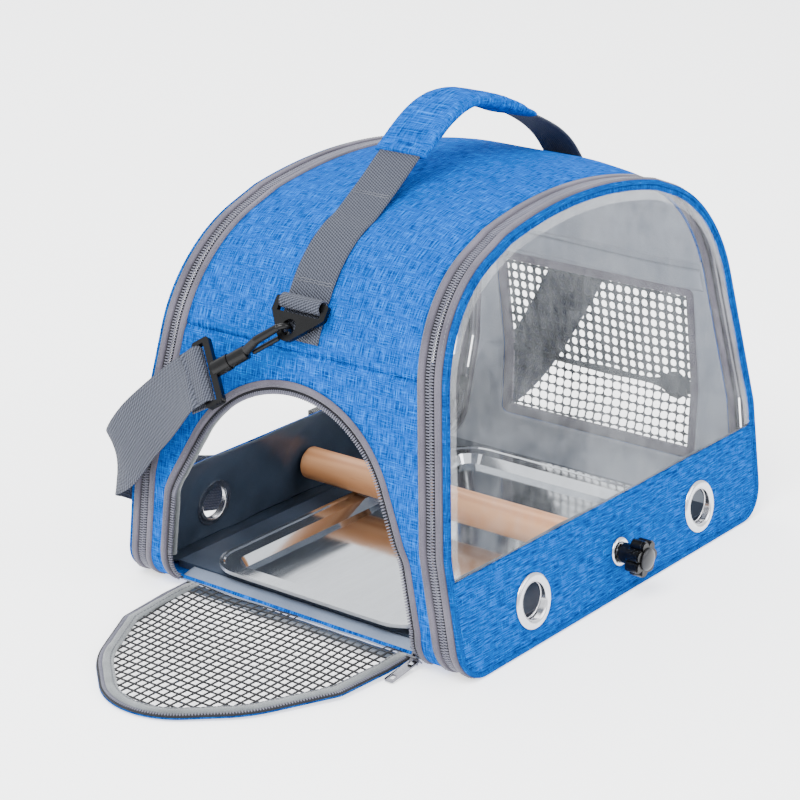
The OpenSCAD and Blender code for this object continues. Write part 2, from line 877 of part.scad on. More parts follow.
// Zip slider in its own frame: X across the zip, Y along its travel, Z outwards from the tape.
// gap is the height of its channel, post_w the width of the wedge between the coils.
module slider(gap, post_w) {
    plate = 1;
    half = zip_half + zip_slot/2 - clear;
    difference() {
        union() {
            for (z = [-gap/2 - plate, gap/2]) translate([0, 0, z]) linear_extrude(height = plate) hull() {
                translate([0, 4.5]) square([2*half, 1], center = true);
                translate([0, -4.5]) square([2*half - 1.6, 1], center = true);
                translate([0, 1]) circle(r = half, $fn = 32);
            }
            translate([-post_w/2, 1.5, -gap/2 - plate/2]) cube([post_w, 3.5, gap + plate]);
            translate([-1.1, -3.6, gap/2 + plate/2]) cube([2.2, 7.2, 2.6]);
        }
        translate([0, 0, gap/2 + plate + 0.95]) rotate([0, 90, 0]) cylinder(r = 0.75, h = 10, center = true, $fn = 24);
    }
}

// Pull hung on the slider's bar: axle, two cheeks and a tab with a square window
module pull(l) {
    h = 1.6;
    rotate([0, 90, 0]) cylinder(r = 0.6, h = 6, center = true, $fn = 24);
    for (s = [-1, 1]) translate([s*2.4, -2.4, 0]) cube([1.2, 5.6, 1.2], center = true);
    translate([0, -l/2 - 4.4, 0]) linear_extrude(height = 1.2, center = true) difference() {
        hull() for (s = [-1, 1]) {
            translate([s*2, l/2 - 1]) circle(r = 1, $fn = 24);
            translate([s*2.2, -l/2 + 1]) circle(r = 1, $fn = 24);
        }
        translate([0, -l/2 + 4.5]) square([3.4, 4.4], center = true);
    }
}

slider_gap = coil_t + 2*clear;
slider_mid = zip_in + coil_t/2;
slot_mid = (slot_1 + slot_2)/2;
slider_z = 40;
slider_in = asin((foot_draw)/(waist_z - corner_r));
pull_l = 20;

// Frame of an arch zip's slider, near the foot of the right-hand leg
module at_slider(side) {
    x = body_w/2 - foot_draw*(waist_z - slider_z)/(waist_z - corner_r) - slider_mid;
    translate([x, mid_y(side, slot_mid, slider_z), slider_z]) rotate([side*panel_lean, slider_in, 0])
        rotate([90, 0, 90]) children();
}

module at_pull(gap = slider_gap) {
    translate([0, 0, gap/2 + 1.95]) children();
}

module front_slider() {
    color(STEEL) at_slider(front) slider(slider_gap, zip_slot - 2*clear);
}

module front_pull() {
    color(STEEL) at_slider(front) at_pull() pull(pull_l);
}

module back_slider() {
    color(STEEL) at_slider(back) slider(slider_gap, zip_slot - 2*clear);
}

module back_pull() {
    color(STEEL) at_slider(back) at_pull() pull(pull_l);
}

// The door's slider waits low on the bottom corner, beside the end of the hinge line
door_slider_angle = 48;
door_slider_gap = coil_t + 2;
door_pull_fold = 131;
door_slider_y = -(door_foot - door_open_in - door_gap/2);

module at_door_slider() {
    r = corner_r - 0.3 - coil_t/2;
    translate([-foot_x, door_slider_y, corner_r]) rotate([0, -door_slider_angle, 0])
        translate([-r, 0, 0]) rotate([90, 0, -90]) children();
}

module door_slider() {
    color(STEEL) at_door_slider() slider(door_slider_gap, door_gap - 2*clear);
}

module door_pull() {
    color(STEEL) at_door_slider() at_pull(door_slider_gap) rotate([-door_pull_fold, 0, 0]) pull(pull_l);
}

// Triangular ring: bar at the top, slot for the webbing, plate with the eye below
module ring_plate(s) {
    bar = 4;
    slot = 5;
    difference() {
        hull() {
            for (k = [-1, 1]) {
                translate([k*(webbing_w/2 + 2.5), 0]) circle(r = bar/2, $fn = 32);
                translate([k*(webbing_w/2 + 2.5), -slot - 1.5]) circle(r = bar/2, $fn = 32);
            }
            translate([s*ring_eye_y, -ring_drop]) circle(r = ring_eye_in + 3.4, $fn = 48);
        }
        translate([0, -bar/2 - slot/2]) square([webbing_w + 1.4, slot], center = true);
        translate([s*ring_eye_y, -ring_drop]) circle(r = ring_eye_in, $fn = 48);
    }
}

// Ring frame: local Y up the ring, local Z outwards, local X along Y of the carrier
module at_ring(s) {
    translate([s*bar_x, 0, bar_z]) rotate([0, s*-ring_tilt, 0]) rotate([90, 0, s*90]) children();
}

// Hook frame: X runs from the ring's eye to the strap, Z outwards from the end wall
module at_hook(s) {
    turn = hook_turn[s < 0 ? 0 : 1];
    at_ring(s) translate([s*ring_eye_y, -ring_drop, 0]) rotate([0, 0, s < 0 ? 180 + turn : -turn]) children();
}

module ring(s) {
    color(BLACK) at_ring(s) linear_extrude(height = ring_t, center = true) ring_plate(s);
}

swivel_x = hook_l - 15;
slot_l = strap_w + 1.4;

// Strap frame: two brackets on a slotted bar frame, with the swivel's socket between them
module strap_frame(s) {
    color(BLACK) at_hook(s) difference() {
        union() {
            translate([hook_l, 0, 0]) linear_extrude(height = plastic_t, center = true) hull() for (k = [-1, 1]) {
                translate([-3.5, k*(slot_l/2 + 1)]) circle(r = 2, $fn = 24);
                translate([4.5, k*(slot_l/2 + 1)]) circle(r = 2, $fn = 24);
            }
            translate([swivel_x, 0, 0]) rotate([0, 90, 0]) cylinder(r = 5, h = 11, $fn = 48);
        }
        translate([swivel_x - 1, 0, 0]) rotate([0, 90, 0]) cylinder(r = 2.6, h = 6, $fn = 40);
        translate([swivel_x + 3.9, 0, 0]) rotate([0, 90, 0]) cylinder(r = 3.7, h = 3.6, $fn = 40);
        translate([hook_l + 1.2, 0, 0]) cube([5, slot_l, 20], center = true);
    }
}

shank_r = 2.7;
bow_r = 1.9;
nose_z = -(ring_t/2 + clear + bow_r + 0.1);
shank_z = 6.4;
bow_turn = (shank_z - nose_z)/2;
nose_x = ring_eye_in + 4.3;
collar_x = swivel_x - 12;

// Snap hook: swivel stem, collar, shank outside the ring, and the bow that turns through its eye
module snap_hook(s) {
    color(BLACK) at_hook(s) {
        translate([swivel_x - 7, 0, 0]) rotate([0, 90, 0]) {
            cylinder(r = 2.3, h = 11.6, $fn = 40);
            translate([0, 0, 11.4]) cylinder(r = 3.4, h = 2.6, $fn = 40);
        }
        translate([collar_x, 0, 0]) rotate([0, 90, 0]) cylinder(r = 4.4, h = swivel_x - clear - collar_x, $fn = 48);
        translate([bow_turn - 0.2, 0, (shank_z + nose_z)/2]) {
            rotate([90, -90, 0]) rotate_extrude(angle = 180, $fn = 72) translate([bow_turn, 0]) circle(r = bow_r, $fn = 32);
            translate([-0.5, 0, -bow_turn]) rotate([0, 90, 0]) cylinder(r = bow_r + 0.1, h = nose_x - bow_turn + 0.5, $fn = 32);
        }
        hull() {
            translate([bow_turn, 0, shank_z]) sphere(r = bow_r + 0.5, $fn = 20);
            translate([collar_x - 11, 0, shank_z - 0.6]) sphere(r = shank_r, $fn = 20);
        }
        hull() {
            translate([collar_x - 11, 0, shank_z - 0.6]) sphere(r = shank_r, $fn = 20);
            translate([collar_x + 1.5, 0, 0.4]) sphere(r = 3.2, $fn = 20);
        }
    }
}

gate_r = 1.6;
gate_end = collar_x - 3.2;

module gate(s) {
    color(BLACK) at_hook(s) {
        hull() {
            translate([nose_x + gate_r + 0.3, 0, nose_z]) sphere(r = gate_r, $fn = 20);
            translate([gate_end, 0, nose_z]) sphere(r = gate_r, $fn = 20);
        }
        translate([(nose_x + gate_end)/2 - 2, 0, nose_z - 1.1]) sphere(r = 1.5, $fn = 20);
    }
}

module left_ring() {
    ring(-1);
}

module left_strap_frame() {
    strap_frame(-1);
}

module left_hook() {
    snap_hook(-1);
}

module left_gate() {
    gate(-1);
}

module right_ring() {
    ring(1);
}

module right_strap_frame() {
    strap_frame(1);
}

module right_hook() {
    snap_hook(1);
}

module right_gate() {
    gate(1);
}

floor_cloth();
base_board();
left_end_wall();
right_end_wall();
top_cover();
cabin_lining();
front_hoop_binding();
back_hoop_binding();
front_hoop_zip();
back_hoop_zip();
doorway_binding();
doorway_zip();
right_net();
right_net_binding();
handle_webbing();
handle_grip();
ring_loops();
shoulder_strap();
strap_adjuster();
front_border();
front_band();
front_window();
front_piping();
front_panel_binding();
front_panel_zip();
front_band_lining();
front_eyelets();
perch();
perch_screw();
perch_knob();
back_border();
back_band();
back_window();
back_piping();
back_panel_binding();
back_panel_zip();
back_band_lining();
back_eyelets();
door_net();
door_binding();
door_zip();
door_rim();
tray();
door_slider();
door_pull();
front_slider();
front_pull();
back_slider();
back_pull();
left_ring();
left_strap_frame();
left_hook();
left_gate();
right_ring();
right_strap_frame();
right_hook();
right_gate();
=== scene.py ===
import math
import bpy
import bmesh
from bisect import bisect_left
from mathutils import Matrix, Vector, noise


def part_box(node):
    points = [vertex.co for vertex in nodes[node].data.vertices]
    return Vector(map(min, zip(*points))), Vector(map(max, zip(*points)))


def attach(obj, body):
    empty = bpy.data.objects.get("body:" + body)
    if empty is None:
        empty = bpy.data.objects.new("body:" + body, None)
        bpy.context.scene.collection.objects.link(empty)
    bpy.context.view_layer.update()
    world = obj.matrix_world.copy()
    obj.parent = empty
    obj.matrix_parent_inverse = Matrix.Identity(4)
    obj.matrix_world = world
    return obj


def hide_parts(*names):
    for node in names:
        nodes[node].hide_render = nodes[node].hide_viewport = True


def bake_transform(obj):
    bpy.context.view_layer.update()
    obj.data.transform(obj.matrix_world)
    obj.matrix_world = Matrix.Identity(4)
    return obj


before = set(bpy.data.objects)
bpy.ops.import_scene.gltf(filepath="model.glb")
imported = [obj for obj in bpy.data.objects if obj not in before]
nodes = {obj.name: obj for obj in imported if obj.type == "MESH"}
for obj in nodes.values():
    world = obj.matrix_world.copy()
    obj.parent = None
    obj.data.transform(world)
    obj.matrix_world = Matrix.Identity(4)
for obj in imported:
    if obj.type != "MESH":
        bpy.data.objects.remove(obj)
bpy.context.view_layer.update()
mm = 0.001
print("frame loaded:", len(nodes), "nodes")

# Sizes of the carrier in millimetres, the same as in the part's source
carrier = {
    "depth": 225, "lean": 8.4, "seam": 171,
    "foot": (145, 23, 23), "waist": (147, 75, 23), "shoulder": (68.5, 151.5, 87.5),
    "crownRadius": 350, "crownHalf": 80, "top": 250,
}
leanRun = math.tan(math.radians(carrier["lean"]))


def within(value, low=0, high=1):
    return min(max(value, low), high)


def between(p, q, t):
    return tuple(a + (b - a)*t for a, b in zip(p, q))


def runsOf(points):
    # length so far at each point of a line
    runs = [0.0]
    for p, q in zip(points, points[1:]):
        runs.append(runs[-1] + math.dist(p, q))
    return runs


def placeIn(table, value):
    # in a rising table: index of the entry after the value, and how far on the way to it
    i = within(bisect_left(table, value), 1, len(table) - 1)
    gap = table[i] - table[i - 1]
    return i, (value - table[i - 1])/gap if gap > 1e-9 else 0


def supportPath(blobs, fromDeg, toDeg, count, crown=None):
    # outline of a hull of circles, walked by the direction of its normal
    points = []
    for k in range(count + 1):
        angle = math.radians(fromDeg + (toDeg - fromDeg)*k/count)
        nx, nz = math.cos(angle), math.sin(angle)
        best = max((cx*nx + cz*nz + r, cx + r*nx, cz + r*nz) for cx, cz, r in blobs)
        if crown and nz > 0:
            radius, half, top = crown
            if abs(nx) <= half/radius:
                spot = (radius*nx, top - radius + radius*nz)
            else:
                spot = (math.copysign(half, nx), top - radius + math.sqrt(radius**2 - half**2))
            best = max(best, (spot[0]*nx + spot[1]*nz,) + spot)
        points.append((best[1], best[2]))
    return points


def evenly(points, step, side=1, closed=False):
    # the same line with even steps: (a, b, normal a, normal b, length so far)
    line = list(points) + ([points[0]] if closed else [])
    runs = runsOf(line)
    count = max(2, round(runs[-1]/step))
    spots = []
    for k in range(count if closed else count + 1):
        want = runs[-1]*k/count
        i, t = placeIn(runs, want)
        spots.append(between(line[i - 1], line[i], t) + (want,))
    out = []
    last = len(spots) - 1
    for k, (a, b, run) in enumerate(spots):
        p = spots[k - 1] if closed or k else spots[0]
        q = spots[(k + 1) % len(spots)] if closed or k < last else spots[last]
        ta, tb = q[0] - p[0], q[1] - p[1]
        size = math.hypot(ta, tb) or 1
        out.append((a, b, -side*tb/size, side*ta/size, run))
    return out


def mirrorBlobs(*blobs):
    return [(s*a, b, r) for a, b, r in blobs for s in (-1, 1)]


archRaw = supportPath(mirrorBlobs(carrier["foot"], carrier["waist"], carrier["shoulder"]), 269.9, -89.9, 2400,
                      (carrier["crownRadius"], carrier["crownHalf"], carrier["top"]))
archLine = evenly(archRaw, 2.0)
archLoop = evenly(archRaw, 2.0, closed=True)
legLine = [p for p in evenly(archRaw, 0.5) if p[0] < 0 and p[1] < 215]
legRuns = [p[4] for p in legLine]
legHeights = [p[1] for p in legLine]


def alongLeg(table, value):
    i, t = placeIn(table, value)
    return between(legLine[i - 1], legLine[i], within(t))


def runAt(z):
    return alongLeg(legHeights, z)[4]


def wallPoint(end, y, run, depth=0):
    # a point of an end wall: y across, run up the leg, depth inwards
    x, z, nx, nz, _ = alongLeg(legRuns, run)
    return (-end*(x - nx*depth), y, z - nz*depth)


def sideY(side, out, z):
    # Y of what lies out beyond the wrap's edge
    return side*(carrier["depth"]/2 + out - z*leanRun)


def edgeAt(z):
    return sideY(1, 0, z)


def archPoint(side, spot, out, depth):
    # a point of the layers outside the wrap's edge
    x, z, nx, nz, _ = spot
    x, z = x - nx*depth, z - nz*depth
    return (x, sideY(side, out, z), z)


def uneven(a, b, c):
    # smooth unevenness between -1 and 1, the same on every run
    return noise.noise(Vector((a, b, c)))


def smoothLine(points, count):
    # Catmull-Rom curve through tuples of numbers
    out = []
    last = len(points) - 1
    for i in range(last):
        a, b, c, d = points[max(i - 1, 0)], points[i], points[i + 1], points[min(i + 2, last)]
        for k in range(count):
            t = k/count
            out.append(tuple(0.5*(2*q + (r - p)*t + (2*p - 5*q + 4*r - s)*t*t + (3*q - p - 3*r + s)*t**3)
                             for p, q, r, s in zip(a, b, c, d)))
    return out + [tuple(points[last])]


# Mesh makers: a grid laid out by a function, and a section carried along a line
def gridMesh(across, up, place, closeAcross=False, closeUp=False):
    bm = bmesh.new()
    bmesh.ops.create_grid(bm, x_segments=across, y_segments=up, size=1)
    bm.verts.index_update()
    farX = max(v.co.x for v in bm.verts)
    farY = max(v.co.y for v in bm.verts)
    flat = {}
    for v in bm.verts:
        i, j = round((v.co.x/farX + 1)/2*across), round((v.co.y/farY + 1)/2*up)
        spot, flat[v.index] = place(i, j)
        v.co = Vector(spot)*mm
    layer = bm.loops.layers.uv.new("UVMap")
    for face in bm.faces:
        for loop in face.loops:
            a, b = flat[loop.vert.index]
            loop[layer].uv = (a*mm, b*mm)
    if closeAcross or closeUp:
        bmesh.ops.remove_doubles(bm, verts=bm.verts, dist=2e-6)
    return bm


def closeEnds(bm):
    bmesh.ops.holes_fill(bm, edges=[e for e in bm.edges if e.is_boundary], sides=0)


def sweepMesh(count, section, at, closed=False):
    # at(i, a, b) gives the point of station i for the section's point, and the length so far
    runs = runsOf(list(section) + [section[0]])
    m = len(section)

    def place(i, j):
        spot, run = at(i, *section[j % m])
        return spot, (run, runs[j])
    bm = gridMesh(count, m, place, closed, True)
    if not closed:
        closeEnds(bm)
    bmesh.ops.recalc_face_normals(bm, faces=bm.faces)
    return bm


def archSweep(side, section, line, closed=False):
    n = len(line)

    def at(i, a, b):
        return archPoint(side, line[i % n], a, b), line[i][4] if i < n else line[-1][4] + 2
    return sweepMesh(n if closed else n - 1, section, at, closed)


def frameSweep(stations, section, closed=False):
    # stations are (centre, direction of the width, direction of the thickness, length so far)
    n = len(stations)

    def at(i, a, b):
        c, wide, thick, run = stations[i % n]
        return c + wide*a + thick*b, run
    return sweepMesh(n if closed else n - 1, section, at, closed)


def roundStrip(a0, a1, b0, b1, r, parts=3):
    # closed section of a strip with rounded edges
    out = []
    for ca, cb, start in ((a1 - r, b1 - r, 0), (a0 + r, b1 - r, 90), (a0 + r, b0 + r, 180), (a1 - r, b0 + r, 270)):
        for k in range(parts + 1):
            t = math.radians(start + 90*k/parts)
            out.append((ca + r*math.cos(t), cb + r*math.sin(t)))
    return out


def circleSection(r, count=10, a=0, b=0):
    return [(a + r*math.cos(math.tau*k/count), b + r*math.sin(math.tau*k/count)) for k in range(count)]


def faceOut(bm, way=None):
    # a sheet faces the given way, or away from the middle of the cabin
    middle = Vector((0, 0, 100))*mm
    if sum(f.normal.dot(Vector(way) if way else f.calc_center_median() - middle)*f.calc_area() for f in bm.faces) < 0:
        bmesh.ops.reverse_faces(bm, faces=bm.faces)


def meshOf(name, bm):
    mesh = bpy.data.meshes.new(name)
    bm.to_mesh(mesh)
    bm.free()
    return mesh


def joinInto(bm, part):
    # puts a second mesh into the first
    extra = meshOf("extra", part)
    bm.from_mesh(extra)
    bpy.data.meshes.remove(extra)


def openCells(bm, cord):
    # every cell of the grid becomes a hole between cords
    cells = list(bm.faces)
    bmesh.ops.inset_individual(bm, faces=cells, thickness=cord/2*mm, use_even_offset=True)
    bmesh.ops.delete(bm, geom=cells, context="FACES_ONLY")


def addObject(name, data):
    thing = bpy.data.objects.new(name, data)
    bpy.context.scene.collection.objects.link(thing)
    return thing


def blocksMesh(spots, size, soft):
    # small rounded blocks: (centre, along, out), with a length of their own or the common one
    bm = bmesh.new()
    for centre, along, out, *own in spots:
        a = Vector(along).normalized()
        n = Vector(out)
        n = (n - a*n.dot(a)).normalized()
        length = own[0] if own else size[0]
        turn = Matrix((a*length*mm, n.cross(a)*size[1]*mm, n*size[2]*mm)).transposed().to_4x4()
        bmesh.ops.create_cube(bm, size=1, matrix=Matrix.Translation(Vector(centre)*mm) @ turn)
    bmesh.ops.bevel(bm, geom=list(bm.edges), offset=soft*mm, offset_type="OFFSET", segments=1, profile=0.5,
                    affect="EDGES", material=-1)
    bmesh.ops.recalc_face_normals(bm, faces=bm.faces)
    return bm


def stitchSpots(points, outs, pitch):
    # stitches laid end to end along a line of points
    spots = []
    run, want = 0.0, pitch/2
    for k in range(len(points) - 1):
        p, q = Vector(points[k]), Vector(points[k + 1])
        gap = (q - p).length
        while gap > 1e-6 and run + gap >= want:
            t = (want - run)/gap
            spots.append((p.lerp(q, t), q - p, outs[k]))
            want += pitch
        run += gap
    return spots


# Shader groups: each puts out only colours, masks and heights
def makeGroup(name, inputs, outputs, build):
    tree = bpy.data.node_groups.new(name, "ShaderNodeTree")
    for label, kind, value in inputs:
        socket = tree.interface.new_socket(name=label, in_out="INPUT", socket_type="NodeSocket" + kind)
        if value is not None:
            socket.default_value = value
    for label, kind in outputs:
        tree.interface.new_socket(name=label, in_out="OUTPUT", socket_type="NodeSocket" + kind)
    given = tree.nodes.new("NodeGroupInput").outputs
    build(tree, given["Vector"], given, tree.nodes.new("NodeGroupOutput").inputs)
    return tree


def feed(tree, socket, value):
    if hasattr(value, "is_output"):
        tree.links.new(value, socket)
    else:
        socket.default_value = value


def put(tree, kind, values=(), **settings):
    # a new node with its settings and with what feeds its inputs
    node = tree.nodes.new(kind)
    for key, value in settings.items():
        setattr(node, key, value)
    for key, value in dict(values).items():
        feed(tree, node.inputs[key], value)
    return node


def calc(tree, operation, a, b=0.0):
    return put(tree, "ShaderNodeMath", {0: a, 1: b}, operation=operation).outputs[0]


def times(tree, a, b):
    return calc(tree, "MULTIPLY", a, b)


def plus(tree, a, b):
    return calc(tree, "ADD", a, b)


def stretch(tree, vector, scale):
    return put(tree, "ShaderNodeVectorMath", {0: vector, 1: scale}, operation="MULTIPLY").outputs[0]


def noiseOf(tree, vector, scale, detail=3.0, rough=0.5):
    return put(tree, "ShaderNodeTexNoise", {"Vector": vector, "Scale": scale, "Detail": detail,
                                            "Roughness": rough}).outputs[0]


def mixOf(tree, amount, a, b):
    return put(tree, "ShaderNodeMix", {0: amount, 6: a, 7: b}, data_type="RGBA").outputs[2]


def span(tree, value, low, high, toLow=0.0, toHigh=1.0):
    return put(tree, "ShaderNodeMapRange", {0: value, 1: low, 2: high, 3: toLow, 4: toHigh}).outputs[0]


def axesOf(tree, vector):
    return put(tree, "ShaderNodeSeparateXYZ", {0: vector}).outputs


def waves(tree, vector, perMetre):
    # sine of each axis of a vector in metres
    return [calc(tree, "SINE", axis) for axis in axesOf(tree, stretch(tree, vector, [math.tau*f for f in perMetre]))]


def buildMelange(tree, vector, given, out):
    alongThread = noiseOf(tree, stretch(tree, vector, (110, 1900, 1)), 1.0, 2.0)
    acrossThread = noiseOf(tree, stretch(tree, vector, (1900, 110, 1)), 1.0, 2.0)
    cloud = noiseOf(tree, vector, 45.0, 2.0)
    both = plus(tree, times(tree, alongThread, given["Along"]),
                times(tree, acrossThread, calc(tree, "SUBTRACT", 1.0, given["Along"])))
    tone = span(tree, both, 0.38, 0.62)
    base = mixOf(tree, tone, given["Dark"], given["Light"])
    fleck = span(tree, calc(tree, "MAXIMUM", alongThread, acrossThread), 0.62, 0.74)
    base = mixOf(tree, times(tree, fleck, 0.55), base, given["Pale"])
    feed(tree, out["Color"], mixOf(tree, span(tree, cloud, 0.3, 0.7, 0.0, 0.18), base, given["Dark"]))
    x, y, _ = waves(tree, vector, (620, 620, 1))
    feed(tree, out["Height"], plus(tree, times(tree, times(tree, x, y), 0.3), tone))


def buildRibs(tree, vector, given, out):
    # slanting ribs of a webbing, broken up by its lengthwise threads; the colour darkens with the rib height, a painted
    # shade in the grooves between the ribs
    x, y, _ = axesOf(tree, vector)
    slant = plus(tree, times(tree, x, math.tau*600), times(tree, y, math.tau*300))
    ribs = calc(tree, "SINE", slant)
    threads = calc(tree, "SINE", times(tree, y, math.tau*560))
    height = plus(tree, times(tree, ribs, 0.65), times(tree, threads, 0.35))
    feed(tree, out["Height"], height)
    fuzz = noiseOf(tree, vector, 900.0, 3.0)
    # darker where the ribs sink: painted shade in the grooves
    tone = plus(tree, span(tree, height, -0.6, 0.8, 0.0, 0.8), times(tree, fuzz, 0.25))
    feed(tree, out["Color"], mixOf(tree, tone, given["Dark"], given["Light"]))


def buildFine(tree, vector, given, out):
    # fine weave or fuzz with a slow change of tone
    x, y, _ = waves(tree, vector, (900, 900, 1))
    fuzz = noiseOf(tree, vector, 1400.0, 4.0, 0.7)
    slow = noiseOf(tree, vector, 30.0, 3.0)
    weave = times(tree, times(tree, x, y), given["Weave"])
    feed(tree, out["Height"], plus(tree, weave, times(tree, fuzz, given["Fuzz"])))
    tone = plus(tree, times(tree, slow, 0.5), times(tree, fuzz, 0.5))
    feed(tree, out["Color"], mixOf(tree, span(tree, tone, 0.35, 0.65), given["Dark"], given["Light"]))


def buildWear(tree, vector, given, out):
    # faint rubs and dust, and on the nickels patches of painted dark reflection: a mask that changes over the surface
    broad = noiseOf(tree, vector, 28.0, 4.0, 0.6)
    fine = noiseOf(tree, vector, 420.0, 3.0)
    mask = span(tree, plus(tree, times(tree, broad, 0.7), times(tree, fine, 0.3)), 0.4, 0.72)
    feed(tree, out["Mask"], times(tree, mask, given["Amount"]))
    feed(tree, out["Grain"], fine)


def buildGrain(tree, vector, given, out):
    # wood grain that runs along Y
    long = stretch(tree, vector, (1.0, 0.07, 1.0))
    bend = noiseOf(tree, long, 60.0, 3.0)
    lines = put(tree, "ShaderNodeTexWave", {"Vector": long, "Scale": 55.0, "Distortion": 6.0, "Detail": 2.0},
                wave_type="BANDS", bands_direction="X")
    pores = noiseOf(tree, stretch(tree, vector, (1500, 60, 1500)), 1.0, 2.0)
    tone = plus(tree, times(tree, lines.outputs["Fac"], 0.45), times(tree, bend, 0.55))
    base = mixOf(tree, tone, given["Dark"], given["Light"])
    specks = span(tree, pores, 0.62, 0.7)
    feed(tree, out["Color"], mixOf(tree, times(tree, specks, 0.3), base, given["Dark"]))
    feed(tree, out["Height"], calc(tree, "SUBTRACT", times(tree, tone, 0.3), specks))


colourPair = [("Vector", "Vector", None), ("Dark", "Color", (0, 0, 0, 1)), ("Light", "Color", (1, 1, 1, 1))]
colourOut = [("Color", "Color"), ("Height", "Float")]
groups = {
    "melange": makeGroup("melangeCloth", colourPair + [("Pale", "Color", (1, 1, 1, 1)), ("Along", "Float", 0.5)],
                         colourOut, buildMelange),
    "ribs": makeGroup("webbingRibs", colourPair, colourOut, buildRibs),
    "fine": makeGroup("fineWeave", colourPair + [("Weave", "Float", 0.5), ("Fuzz", "Float", 0.5)],
                      colourOut, buildFine),
    "wear": makeGroup("rubsDustAndShade", [("Vector", "Vector", None), ("Amount", "Float", 0.5)],
                      [("Mask", "Float"), ("Grain", "Float")], buildWear),
    "grain": makeGroup("perchGrain", colourPair, colourOut, buildGrain),
}


def tint(r, g, b):
    # screen colour to the shader's linear colour
    return tuple((c/255/12.92 if c <= 10 else ((c/255 + 0.055)/1.055)**2.4) for c in (r, g, b)) + (1.0,)


def newMaterial(name, plain):
    material = bpy.data.materials.new(name)
    material.use_nodes = True
    tree = material.node_tree
    shader = next(n for n in tree.nodes if n.type == "BSDF_PRINCIPLED")
    for key, value in plain.items():
        shader.inputs[key].default_value = value
    return material, tree, shader


def placeGroup(tree, kind, values):
    node = put(tree, "ShaderNodeGroup", node_tree=groups[kind])
    for key, value in values.items():
        if key in node.inputs:
            feed(tree, node.inputs[key], value)
    return node


def giveBump(tree, shader, height, strength, distance):
    bump = put(tree, "ShaderNodeBump", {"Strength": strength, "Distance": distance, "Height": height})
    feed(tree, shader.inputs["Normal"], bump.outputs[0])


def uvOf(tree):
    return put(tree, "ShaderNodeUVMap", uv_map="UVMap").outputs[0]


def objectOf(tree):
    return put(tree, "ShaderNodeTexCoord").outputs["Object"]


def clothMaterial(name, look):
    material, tree, shader = newMaterial(name, {"Roughness": look["rough"], "Sheen Weight": look["sheen"],
                                                "Specular IOR Level": look.get("shine", 0.2)})
    vector = objectOf(tree) if look.get("solid") else uvOf(tree)
    values = {k: look[k] for k in ("Dark", "Light", "Pale", "Along", "Weave", "Fuzz") if k in look}
    group = placeGroup(tree, look["group"], dict(values, Vector=vector))
    wear = placeGroup(tree, "wear", {"Vector": objectOf(tree), "Amount": look["wear"]})
    feed(tree, shader.inputs["Base Color"], mixOf(tree, wear.outputs["Mask"], group.outputs["Color"], look["dust"]))
    giveBump(tree, shader, group.outputs["Height"], look["bump"], look["depth"])
    return material


def hardMaterial(name, look):
    material, tree, shader = newMaterial(name, dict(look["plain"], **{"Base Color": look["colour"]}))
    wear = placeGroup(tree, "wear", {"Vector": stretch(tree, objectOf(tree), look["stretch"]), "Amount": 1.0})
    low, high = look["rough"]
    feed(tree, shader.inputs["Roughness"], span(tree, wear.outputs["Mask"], 0, 1, low, high))
    # rubbed tone laid by the mask: rubs, and on the nickels painted dark reflections
    feed(tree, shader.inputs["Base Color"], mixOf(tree, times(tree, wear.outputs["Mask"], look["wear"]),
                                                  look["colour"], look["rubAndShadeTone"]))
    giveBump(tree, shader, wear.outputs["Grain"], look["bump"], 0.0002)
    return material


blueLook = {
    "group": "melange", "Dark": tint(0, 36, 98), "Light": tint(0, 98, 200), "Pale": tint(6, 140, 238), "Along": 0.4,
    "rough": 0.9, "sheen": 0.0, "shine": 0.02, "wear": 0.02, "dust": tint(10, 100, 196), "bump": 0.4, "depth": 0.0003,
}


def clothLook(dark, light, weave, fuzz, rough, sheen, wear, dust, bump, depth=0.0001, **more):
    look = {"group": "fine", "Dark": tint(*dark), "Light": tint(*light), "Weave": weave, "Fuzz": fuzz,
            "rough": rough, "sheen": sheen, "wear": wear, "dust": tint(*dust), "bump": bump, "depth": depth}
    return dict(look, **more)


def hardLook(colour, rubAndShadeTone, rough, wear, bump, shine=None, stretch=(1, 1, 1)):
    # without a shine it is metal
    return {"plain": {"Metallic": 1.0} if shine is None else {"Specular IOR Level": shine}, "colour": tint(*colour),
            "rubAndShadeTone": tint(*rubAndShadeTone), "rough": rough, "wear": wear, "bump": bump, "stretch": stretch}


